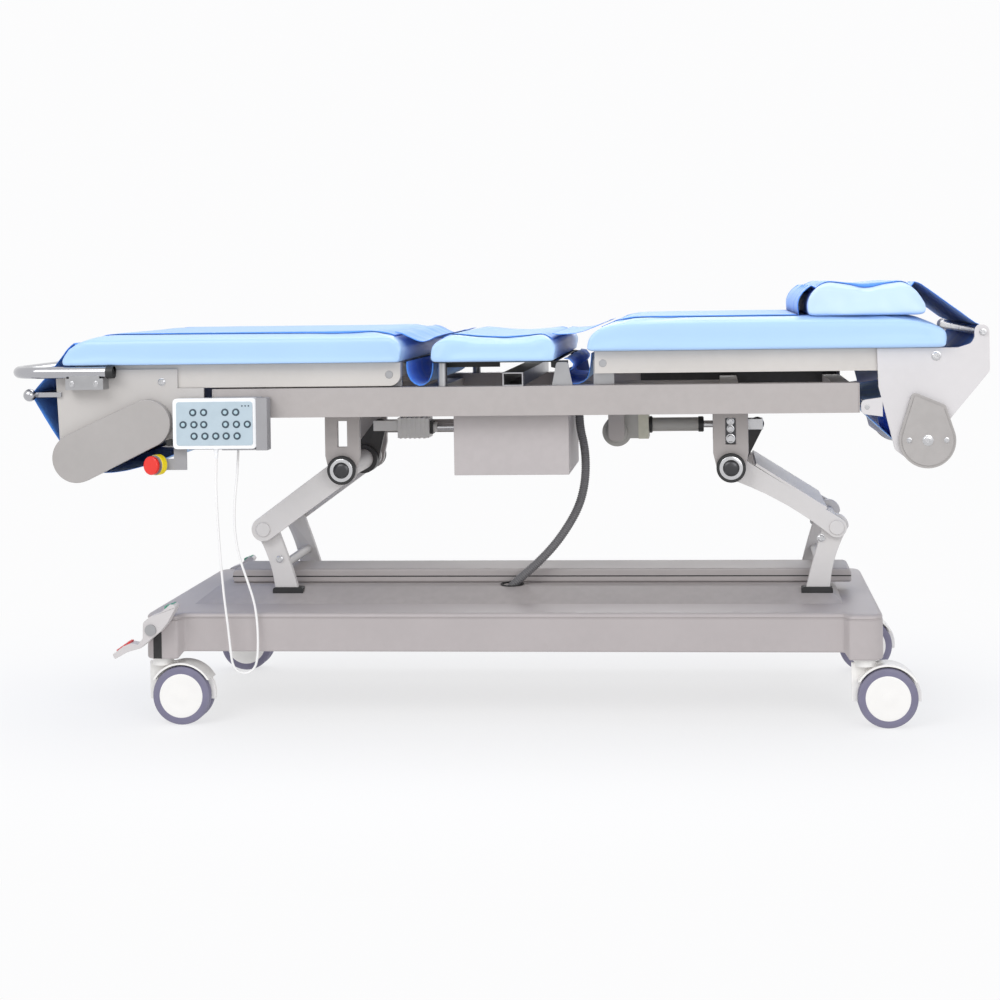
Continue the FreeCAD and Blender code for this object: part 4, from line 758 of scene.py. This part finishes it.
def sheets(leg, seat, back, pillow):
    """The disposable sheet from its roll to its take-up, and the flaps in the two gaps."""
    sheet_strip("sheet_over_head", HEAD_SHEET, (back, pillow), "back_section",
                seed=3)
    bridge = sheet_strip("sheet_over_back_gap", HEAD_GAP_SHEET, (), None,
                         seed=3)
    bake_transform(bridge)
    sheet_strip("sheet_over_seat", SEAT_SHEET, (seat,), "seat_section",
                seed=5)
    dip = sheet_strip("sheet_over_leg_gap", LEG_GAP_SHEET, (), None,
                      seed=5)
    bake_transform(dip)
    sheet_strip("sheet_over_leg", LEG_SHEET, (leg,), "leg_section",
                seed=7)
    low = sheet_strip("foot_gap_flap", FOOT_FLAP, (), None,
                      half=276, ripple=1.4, seed=11)
    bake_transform(low)
    high = sheet_strip("head_gap_flap", HEAD_FLAP, (), None,
                       half=254, ripple=1.6, seed=13)
    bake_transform(high)


# The room's light, the floor and the camera
CAMERA_X, CAMERA_Y, CAMERA_Z = 466.4, -3813, 938.1
LENS, YAW, ROLL = 60.8, 4.4, -0.85
SHIFT_X, SHIFT_Y = -0.079, -0.2195


BACKDROP = (0.975, 0.975, 0.98, 1)


def floor_material():
    """White paper that takes the table's shadow and fades to the backdrop's white further out."""
    material = bpy.data.materials.new("floor_white")
    material.use_nodes = True
    tree = material.node_tree
    shader = tree.nodes["Principled BSDF"]
    shader.inputs["Base Color"].default_value = (0.9, 0.9, 0.91, 1)
    shader.inputs["Roughness"].default_value = 0.9
    shader.inputs["Specular IOR Level"].default_value = 0.1
    place = tree.nodes.new("ShaderNodeTexCoord")
    squeeze = tree.nodes.new("ShaderNodeMapping")
    squeeze.inputs["Scale"].default_value = (0.5, 0.9, 0)
    tree.links.new(place.outputs["Object"], squeeze.inputs["Vector"])
    away = tree.nodes.new("ShaderNodeVectorMath")
    away.operation = "LENGTH"
    tree.links.new(squeeze.outputs["Vector"], away.inputs[0])
    fade = tree.nodes.new("ShaderNodeMapRange")
    fade.interpolation_type = "SMOOTHSTEP"
    fade.inputs["From Min"].default_value = 0.35
    fade.inputs["From Max"].default_value = 1.15
    fade.inputs["To Min"].default_value = 0.7
    tree.links.new(away.outputs["Value"], fade.inputs["Value"])
    glow = tree.nodes.new("ShaderNodeEmission")
    glow.inputs["Color"].default_value = BACKDROP
    mix = tree.nodes.new("ShaderNodeMixShader")
    tree.links.new(fade.outputs["Result"], mix.inputs["Fac"])
    tree.links.new(shader.outputs["BSDF"], mix.inputs[1])
    tree.links.new(glow.outputs["Emission"], mix.inputs[2])
    tree.links.new(mix.outputs["Shader"], tree.nodes["Material Output"].inputs["Surface"])
    return material


def soft_lamp(name, place, target, wide, high, power, tint=(1, 1, 1)):
    lamp = bpy.data.lights.new(name, "AREA")
    lamp.shape = "RECTANGLE"
    lamp.size, lamp.size_y = wide, high
    lamp.energy = power
    lamp.color = tint
    holder = bpy.data.objects.new(name, lamp)
    bpy.context.scene.collection.objects.link(holder)
    holder.location = place
    holder.rotation_euler = (Vector(target) - Vector(place)).to_track_quat("-Z", "Y").to_euler()


def studio():
    """A white floor, soft lamps all round, and the camera of the photograph."""
    scene = bpy.context.scene
    data = bpy.data.meshes.new("floor")
    data.from_pydata([(-30, -30, 0), (30, -30, 0), (30, 30, 0), (-30, 30, 0)], [], [(0, 1, 2, 3)])
    data.materials.append(floor_material())
    floor = bpy.data.objects.new("floor", data)
    scene.collection.objects.link(floor)
    world = bpy.data.worlds.new("studio_light")
    scene.world = world
    world.use_nodes = True
    tree = world.node_tree
    path = tree.nodes.new("ShaderNodeLightPath")
    seen = arithmetic(tree, "MAXIMUM", path.outputs["Is Camera Ray"],
                      path.outputs["Is Transmission Ray"])
    seen = arithmetic(tree, "MAXIMUM", seen, path.outputs["Is Glossy Ray"])
    backdrop = tree.nodes.new("ShaderNodeBackground")
    backdrop.inputs["Color"].default_value = BACKDROP
    fill = tree.nodes["Background"]
    fill.inputs["Color"].default_value = (0.94, 0.96, 1.0, 1)
    fill.inputs["Strength"].default_value = 0.62
    mix = tree.nodes.new("ShaderNodeMixShader")
    tree.links.new(seen, mix.inputs["Fac"])
    tree.links.new(fill.outputs["Background"], mix.inputs[1])
    tree.links.new(backdrop.outputs["Background"], mix.inputs[2])
    tree.links.new(mix.outputs["Shader"], tree.nodes["World Output"].inputs["Surface"])
    soft_lamp("key_lamp", (-1.6, -2.6, 2.6), (0, 0, 0.6), 2.2, 1.4, 46)
    soft_lamp("front_lamp", (1.9, -3.0, 1.7), (0.2, 0, 0.5), 2.0, 1.4, 30)
    soft_lamp("top_lamp", (0.1, 0.3, 2.7), (0, 0, 0.6), 2.8, 1.4, 26)
    soft_lamp("back_lamp", (0.6, 2.8, 2.0), (0, 0, 0.6), 2.4, 1.2, 22)
    camera = bpy.data.cameras.new("camera")
    camera.lens = LENS
    camera.shift_x, camera.shift_y = SHIFT_X, SHIFT_Y
    camera.clip_end = 100
    holder = bpy.data.objects.new("camera", camera)
    scene.collection.objects.link(holder)
    turn = Matrix.Rotation(math.radians(YAW), 4, "Z") @ Matrix.Rotation(math.radians(90), 4, "X")
    holder.matrix_world = (Matrix.Translation(mm(CAMERA_X, CAMERA_Y, CAMERA_Z)) @ turn
                           @ Matrix.Rotation(math.radians(ROLL), 4, "Z"))
    scene.camera = holder
    scene.view_settings.view_transform = "Standard"


def dress_nodes():
    """Finishes and soft edges for the solids that carry over."""
    dress(FRAME_PAINT, "main_frame", "head_hangers", "foot_hanger", bevel=2.2)
    dress(FRAME_PAINT, "frame_caps", bevel=0.8)
    dress(ARM_PAINT, "head_lift_arms", "foot_lift_arms", bevel=1.6)
    dress(ARM_PAINT, "head_struts", "foot_struts", bevel=1.6)
    dress(SECTION_PAINT, "leg_frame", "back_frame", bevel=2.4)
    dress(PLATE_PAINT, "foot_side_plates", bevel=1)
    dress(HEAD_PLATE_PAINT, "head_side_plates", bevel=1)
    dress(BOX_PAINT, "control_box", bevel=1.4)
    dress(UNIT_PLASTIC, "control_unit", bevel=2)
    dress(ZINC, "section_hinges", "seat_supports", bevel=0.8)
    dress(BLACK_PLASTIC, "seat_pan", bevel=2)
    dress(DARK_STEEL, "head_upper_shaft", "foot_upper_shaft", bevel=0.8)
    dress(DARK_PAINT_AND_PAINTED_SHADE, "head_lever", "foot_lever", bevel=1.2)
    dress(DRIVE_GREY, "head_actuator", bevel=1.5)
    dress(DRIVE_WHITE, "foot_actuator", bevel=1.5)
    dress(STEEL, "head_actuator_rod", "foot_actuator_rod", bevel=0.6)
    dress(BASE_TOP, "base_lid", bevel=5)
    dress(ZINC, "base_frame", bevel=1)
    dress(BLACK_PLASTIC, "cable_grommet", "conduit_gland", bevel=0.8)
    dress(GREY_PLASTIC, "handset_holder", bevel=1.5)
    dress(COVER_PLASTIC, "belt_cover", bevel=3)
    dress(PEDAL_GREY, "brake_pedal_near", "brake_pedal_far", bevel=3)
    dress(CHROME, "sheet_bar", "foot_handle", bevel=0.8)
    dress(ZINC, "handle_clamps", bevel=1.5)
    dress(GREY_PLASTIC, "stop_housing", bevel=1.2)
    dress(STOP_RED, "stop_button", bevel=2.5)
    dress(SHEET_BLUE, "supply_roll", "takeup_roll", bevel=0)
    dress(STEEL, "top_roller", "guide_roller", bevel=0.6)
    dress(BLACK_PLASTIC, "nip_roller", bevel=0.6)
    for end in ("head", "foot"):
        for side in ("near", "far"):
            dress(CASTER_WHITE, f"caster_fork_{end}_{side}", bevel=2)


# Base and running gear
def cover_outline(inset):
    """The base cover seen from above: straight sides with a bulging pod at each corner."""
    near = [(-747 + inset, -290 + inset), (-676 - inset, -290 + inset), (-664, -270 + inset),
            (734, -270 + inset), (746 + inset, -290 + inset), (817 - inset, -290 + inset)]
    far = [(x, -y) for x, y in reversed(near)]
    soft = max(4, 30 - inset)
    radii = [soft, 9, 9, 9, 9, soft + 6, soft + 6, 9, 9, 9, 9, soft]
    return rounded(near + far, radii, 6)


def base_cover():
    """The moulded cover: skirt, pods, a lip line, and the raised platform in its middle."""
    levels = [(232, 7), (146, 6), (144, 2), (147, 0), (225, 0), (226.5, 1.6), (229, 1.8),
              (230, 0.4), (234, 1.4), (237, 4.5), (238, 9), (238.2, 26)]
    rings = []
    for z, inset in levels:
        ring = []
        for x, y in cover_outline(inset):
            low = z + 12 if z < 150 and -670 < x < 740 else z
            ring.append(mm(x, y, low))
        rings.append(ring)
    cover = Shape()
    cover.rings(rings, BASE_PLASTIC)
    platform = [[mm(x, y, z) for x, y in ((foot, -half), (head, -half), (head, half), (foot, half))]
                for z, foot, head, half in ((236, -676, 746, 172), (264.6, -641, 711, 110))]
    cover.rings(platform, BASE_TOP, 3)
    for side in (-1, 1):
        low, high = sorted((side * 289, side * 290.4))
        cover.block((-727, low, 145), (-709, high, 201), BLACK_PLASTIC, 0.5)
    cover.piece("base_shell", "base", "base_plastic", ("base_cover",))
    groove = Shape()
    groove.block((-619, -58.5, 278), (769, 58.5, 280.5), BLACK_PLASTIC, 0.3)
    groove.piece("lid_seam", "base", "gland_black")
    collars = Shape()
    for x, wide in ((690, 34), (-474, 34)):
        for y in (-120, 120):
            collars.plate(rounded([(x - wide, 237), (x + wide, 237), (x + wide, 267.5),
                                   (x - wide, 267.5)], 6, 3), y - 12, y + 12, BLACK_PLASTIC, 1.5)
    collars.piece("strut_collars", "base", "gland_black")


WHEEL_AT = {"head": 824, "foot": -672}


WHEEL_RADIUS = 62.5
TREAD_PROFILE = [(5, 46), (5, 58), (7, 61.5), (10, WHEEL_RADIUS), (19, WHEEL_RADIUS), (22.5, 61.2),
                 (24.6, 57.5), (24.8, 53), (24.2, 47)]
FACE_PROFILE = [(5.2, 47.5), (23.6, 47.5), (24.4, 46.5), (25, 44), (24.7, 30), (24.2, 14), (24.9, 12),
                (24.9, 1)]


def casters():
    """Twin wheels: a violet-grey tread round a white face, on each side of the fork's web."""
    for end, x in WHEEL_AT.items():
        for side, middle in (("near", -255), ("far", 255)):
            wheel = Shape()
            for way in (-1, 1):
                centre, axis = (x, middle, WHEEL_RADIUS), (0, way, 0)
                wheel.turned(TREAD_PROFILE, centre, axis, CASTER_TREAD, 56)
                wheel.turned(FACE_PROFILE, centre, axis, CASTER_WHITE, 56)
            wheel.piece(f"wheel_{end}_{side}_disc", f"wheel_{end}_{side}", "caster_tread",
                        (f"caster_wheel_{end}_{side}",))


def pedal_pads():
    """Ribbed pads on the brake's pedals, red where it locks and green where it frees."""
    for side, middle in (("near", -307), ("far", 307)):
        pads = Shape()
        for index in range(4):
            x, z = -797 + 8 * index, 161 + 5.5 * index
            pads.block((x, middle - 12.5, z), (x + 5, middle + 12.5, z + 9), PEDAL_RED, 1.4)
        for index in range(3):
            x, z = -692 + 7 * index, 255 + 2.4 * index
            pads.block((x, middle - 12.5, z), (x + 4.5, middle + 12.5, z + 7), PEDAL_GREEN, 1.4)
        pads.piece(f"pedal_pads_{side}", f"pedal_{side}", "pedal_grey")


# Handset, emergency stop and small fittings
KEY_STEP = 2.13
KEY_ROWS = ((670.9, (-21.6, -10.6, 10.9, 21.9)), (645.3, (-31.6, -20.6, -10.6, 11.4, 22.4, 33.4)),
            (620.8, (-20.6, -9.6, 1.4, 11.9, 22.9)))


def handset():
    """The hand control: a white case, a pale face and fifteen printed keys."""
    case = Shape()
    outline = rounded([(-670, 593.6), (-490, 593.6), (-490, 700.4), (-670, 700.4)], 10, 6)
    case.plate(outline, -313.5, -292.2, HANDSET_WHITE, 3)
    face = rounded([(-662, 601), (-498, 601), (-498, 693), (-662, 693)], 6, 5)
    case.plate(face, -315, -313, HANDSET_FACE, 0.6)
    for z, places in KEY_ROWS:
        for place in places:
            centre = (-580 + place * KEY_STEP, -315, z)
            case.turned([(0, 7.9), (0.8, 7.8), (1, 7.3)], centre, (0, -1, 0), KEY_BLUE, 28)
            case.turned([(0.7, 4.3), (1.5, 4.1), (1.7, 3.6)], centre, (0, -1, 0), KEY_LIGHT, 24)
    for index in range(3):
        case.turned([(0, 1.7), (0.7, 1.5)], (-520 + 7 * index, -315, 684), (0, -1, 0), KEY_BLUE, 12)
    case.piece("handset_case", "handset_body", "handset_white", ("handset",))


STOP_WAY = (-0.4226, -0.9063, 0)


def emergency_stop():
    collar = Shape()
    collar.turned([(-15, 20.5), (-14.6, 21.8), (-1.4, 21.8), (-0.6, 21.2), (-0.6, 15)],
                  (-714, -303, 559), STOP_WAY, STOP_YELLOW, 40)
    collar.piece("stop_collar", "leg_section", "stop_yellow")
    nub = Shape()
    nub.block((-684, -314, 601), (-673, -290, 613), BLACK_PLASTIC, 2)
    nub.piece("stop_cable_end", "leg_section", "gland_black")


def fasteners():
    """The screws and bolts that show, on the body that each one is driven into."""
    for name, body, screws in (
            ("leg_bolts", "leg_section", ((-701, -288, 735, 7), (-885, -322.5, 734, 5),
                                          (-833, -322.5, 734, 5))),
            ("head_bolts", "back_section", ((930, -291, 772, 8), (1026, -293, 820, 5.5))),
            ("hub_screws", "back_section", ((909.5, -303.2, 599.5, 9), (871.5, -303.2, 599.5, 4.5),
                                            (947.5, -303.2, 599.5, 4.5))),
            ("strut_screws", "base", ((700, -128, 373, 7), (-492, -128, 330, 7))),
            ("hanger_screws", "bed_frame", ((508, -160.5, 630, 6.5), (508, -160.5, 614, 6.5),
                                            (508, -160.5, 593, 8)))):
        group = Shape()
        for x, y, z, radius in screws:
            for side in (-1, 1):
                group.bolt((x, side * abs(y), z), (0, side, 0), radius, STEEL, 4)
        group.piece(name, body, "pivot_steel")
    for name, body, x in (("head_pivot_rings", "bed_frame", HEAD_UPPER_X),
                          ("foot_pivot_rings", "foot_carriage", FOOT_UPPER_X)):
        rings = Shape()
        for side in (-1, 1):
            centre, axis = (x, side * 174, UPPER_Z), (0, side, 0)
            rings.turned([(0, 31.6), (2.6, 31.6), (3.6, 30.4), (3.6, 25)], centre, axis,
                         BLACK_PLASTIC, 48)
            rings.turned([(2, 25.5), (4.6, 25), (5, 24.2), (5, 17.8), (2.4, 17)], centre, axis,
                         STEEL, 48)
            rings.turned([(0, 17), (3.2, 16.4), (5.2, 14), (6.4, 10), (6.9, 5), (7, 0.5)], centre,
                         axis, DARK_STEEL, 48)
        rings.piece(name, body, "pivot_steel")
    for name, body, x in (("head_joint_caps", "head_arm", HEAD_LOWER_X),
                          ("foot_joint_caps", "foot_arm", FOOT_LOWER_X)):
        caps = Shape()
        for side in (-1, 1):
            caps.turned([(0, 14), (2.4, 13.4), (3, 12), (3, 6), (1.6, 5)], (x, side * 145, LOWER_Z),
                        (0, side, 0), STEEL, 36)
        caps.piece(name, body, "pivot_steel")


def hub_caps():
    """Raised teardrops over the supply roll's axle, with a chamfer all round."""
    caps = Shape()
    for grow, near, far in ((0, -300, -291), (-6, -303.2, -300)):
        points = [Vector(point) for x, z, radius in ((*HUB, 58), (887, 686, 10), (939, 664, 10))
                  for point in ring_points(x, z, radius + grow, steps=48)]
        outline = [tuple(points[index]) for index in convex_hull_2d(points)]
        caps.plate(outline, near, far, COVER_PLASTIC, 1.6)
    caps.mirrored().piece("hub_teardrops", "back_section", "cover_white", ("hub_covers",))


def dark_fittings():
    """The hangers' backing plates, a dark panel of painted shade inside the far rail, and the
    handle's end caps.
    """
    plates = Shape()
    plates.block((496.5, -160.5, 582), (519.5, -156, 642), DARK_STEEL, 0.6)
    plates.mirrored().piece("hanger_backings", "bed_frame", "hinge_steel")
    # Painted shade: a dark panel inside the far rail under the back, standing in for the shade in the
    # gap between the rails.
    shade_panel = Shape()
    shade_panel.block((300, 237, 662), (765, 243, 714), DARK_PAINT_AND_PAINTED_SHADE, 1)
    shade_panel.piece("painted_shade_panel", "bed_frame", "cap_black")
    caps = Shape()
    caps.turned([(0, 10), (0, 12.8), (0.6, 13.5), (15.4, 13.5), (16, 12.8), (16, 6)],
                (-812, -312, 758), (1, 0, 0), BLACK_PLASTIC, 32)
    caps.mirrored().piece("handle_end_caps", "leg_section", "cap_black")


def drive_details():
    """Cooling ribs, the gearbox's cover and the seals on the two drives."""
    ribs = Shape()
    for index in range(6):
        x = -252 + 11 * index
        ribs.block((x, 47.6, 578.6), (x + 4.5, 102.4, 627.4), DRIVE_WHITE, 1.2)
    ribs.block((-184, 60, 588), (-176, 90, 618), BLACK_PLASTIC, 2)
    ribs.piece("foot_drive_ribs", "foot_drive", "drive_white")
    covers = Shape()
    covers.block((304, -35, 582), (327, 35, 640), GEARBOX, 3)
    covers.turned([(34, 24), (42, 23.4), (43.4, 21), (43.4, 8)], (256, 0, 598), (0, -1, 0),
                  DRIVE_GREY, 40)
    covers.turned([(0, 19), (5, 19), (7, 16.5)], (328, 0, 611), (1, 0, 0), BLACK_PLASTIC, 32)
    covers.turned([(0, 17.5), (10, 17.5), (12, 15.5), (12, 9)], (438, 0, 611), (1, 0, 0),
                  BLACK_PLASTIC, 32)
    covers.piece("head_drive_covers", "head_drive", "drive_grey")


# Cords: their routes are those of the solids
CONDUIT_ROUTE = [(176, -85, 650), (176, -85, 616), (187, -85, 570), (189, -85, 522),
                 (184, -85, 478), (172, -85, 438), (150, -85, 398), (120, -85, 356),
                 (84, -85, 318), (48, -85, 287), (21, -85, 264), (4, -85, 240)]
HANDSET_ROUTE = [(-580, -304, 593.5), (-580, -304, 560), (-582, -304, 510), (-580, -303, 452),
                 (-577, -302, 392), (-573, -301, 332), (-569, -299, 276), (-563, -297, 222),
                 (-558, -296, 168), (-554, -295, 130), (-539, -293, 115), (-519, -291, 115),
                 (-504, -288, 130), (-501, -285, 168), (-502, -283, 214), (-508, -281, 262),
                 (-524, -280, 310), (-542, -279, 362), (-551, -278, 418), (-551, -274, 474),
                 (-546, -268, 530), (-544, -263, 582), (-543, -262, 622), (-543, -262, 656)]


def route_curve(name, route, radius):
    """The cord as a smooth spline with the route's points as its control points."""
    curve = bpy.data.curves.new(name, "CURVE")
    curve.dimensions = "3D"
    spline = curve.splines.new("NURBS")
    spline.points.add(len(route) - 1)
    for point, place in zip(spline.points, route):
        point.co = (*mm(*place), 1)
    spline.order_u = 3
    spline.use_endpoint_u = True
    spline.resolution_u = 8
    curve.bevel_depth = mm(radius)
    curve.bevel_resolution = 5
    curve.use_fill_caps = True
    return bpy.data.objects.new(name, curve)


def spline_points(curve_object):
    """Points along the spline, read from Blender's own curve."""
    bare = curve_object.copy()
    bare.data = curve_object.data.copy()
    bare.data.bevel_depth = 0
    bare.data.splines[0].resolution_u = 24
    line = bpy.data.meshes.new_from_object(bare)
    points = [vertex.co.copy() for vertex in line.vertices]
    bpy.data.meshes.remove(line)
    bpy.data.objects.remove(bare)
    return points


def length_of(points):
    return sum((b - a).length for a, b in zip(points, points[1:]))


def even_points(points, pitch):
    """Points at an even pitch along a line."""
    count = max(2, round(length_of(points) / pitch))
    step = length_of(points) / count
    result, walked, goal = [points[0]], 0, step
    for a, b in zip(points, points[1:]):
        piece = (b - a).length
        while walked + piece >= goal - 1e-9 and len(result) < count:
            result.append(a.lerp(b, (goal - walked) / piece))
            goal += step
        walked += piece
    result.append(points[-1])
    return result


def conduit():
    """The corrugated conduit from the frame's gland to the base's grommet."""
    guide = route_curve("conduit_guide", CONDUIT_ROUTE, 10)
    points = spline_points(guide)
    bpy.data.objects.remove(guide)
    fine = even_points(points, 0.0012)
    path = [tuple(point * 1000) for point in fine]
    radii = [9.2 + 0.8 * math.cos(math.tau * index / 4) for index in range(len(fine))]
    hose = Shape()
    hose.tube(path, radii, CONDUIT_GREY, 20)
    piece = hose.piece("corrugated_conduit", "base", "conduit_grey", ("conduit",), 60)
    [tuple(point) for point in even_points(points, 0.01)]
    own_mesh(piece)


def handset_cord():
    """The handset's cord: down past the base, round a loose loop and up into the frame."""
    cord = route_curve("handset_lead", HANDSET_ROUTE, 2.5)
    bpy.context.scene.collection.objects.link(cord)
    cord.data.materials.append(CORD_WHITE)
    points = spline_points(cord)
    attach(cord, "bed_frame")
    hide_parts("handset_cord")
    relief = Shape()
    relief.turned([(0, 5.4), (2, 5.6), (9, 4.6), (10, 3.9), (12, 4.4), (13, 3.8), (15, 4.1),
                   (16, 3.5), (19, 3.6), (22, 2.8)], (-580, -304, 594), (0, 0, -1),
                  HANDSET_WHITE, 24)
    relief.piece("cord_relief", "handset_body", "cord_white")


def small_parts():
    base_cover()
    casters()
    pedal_pads()
    handset()
    emergency_stop()
    fasteners()
    hub_caps()
    dark_fittings()
    drive_details()
    conduit()
    handset_cord()


studio()
dress_nodes()
small_parts()
sheets(*cushions())
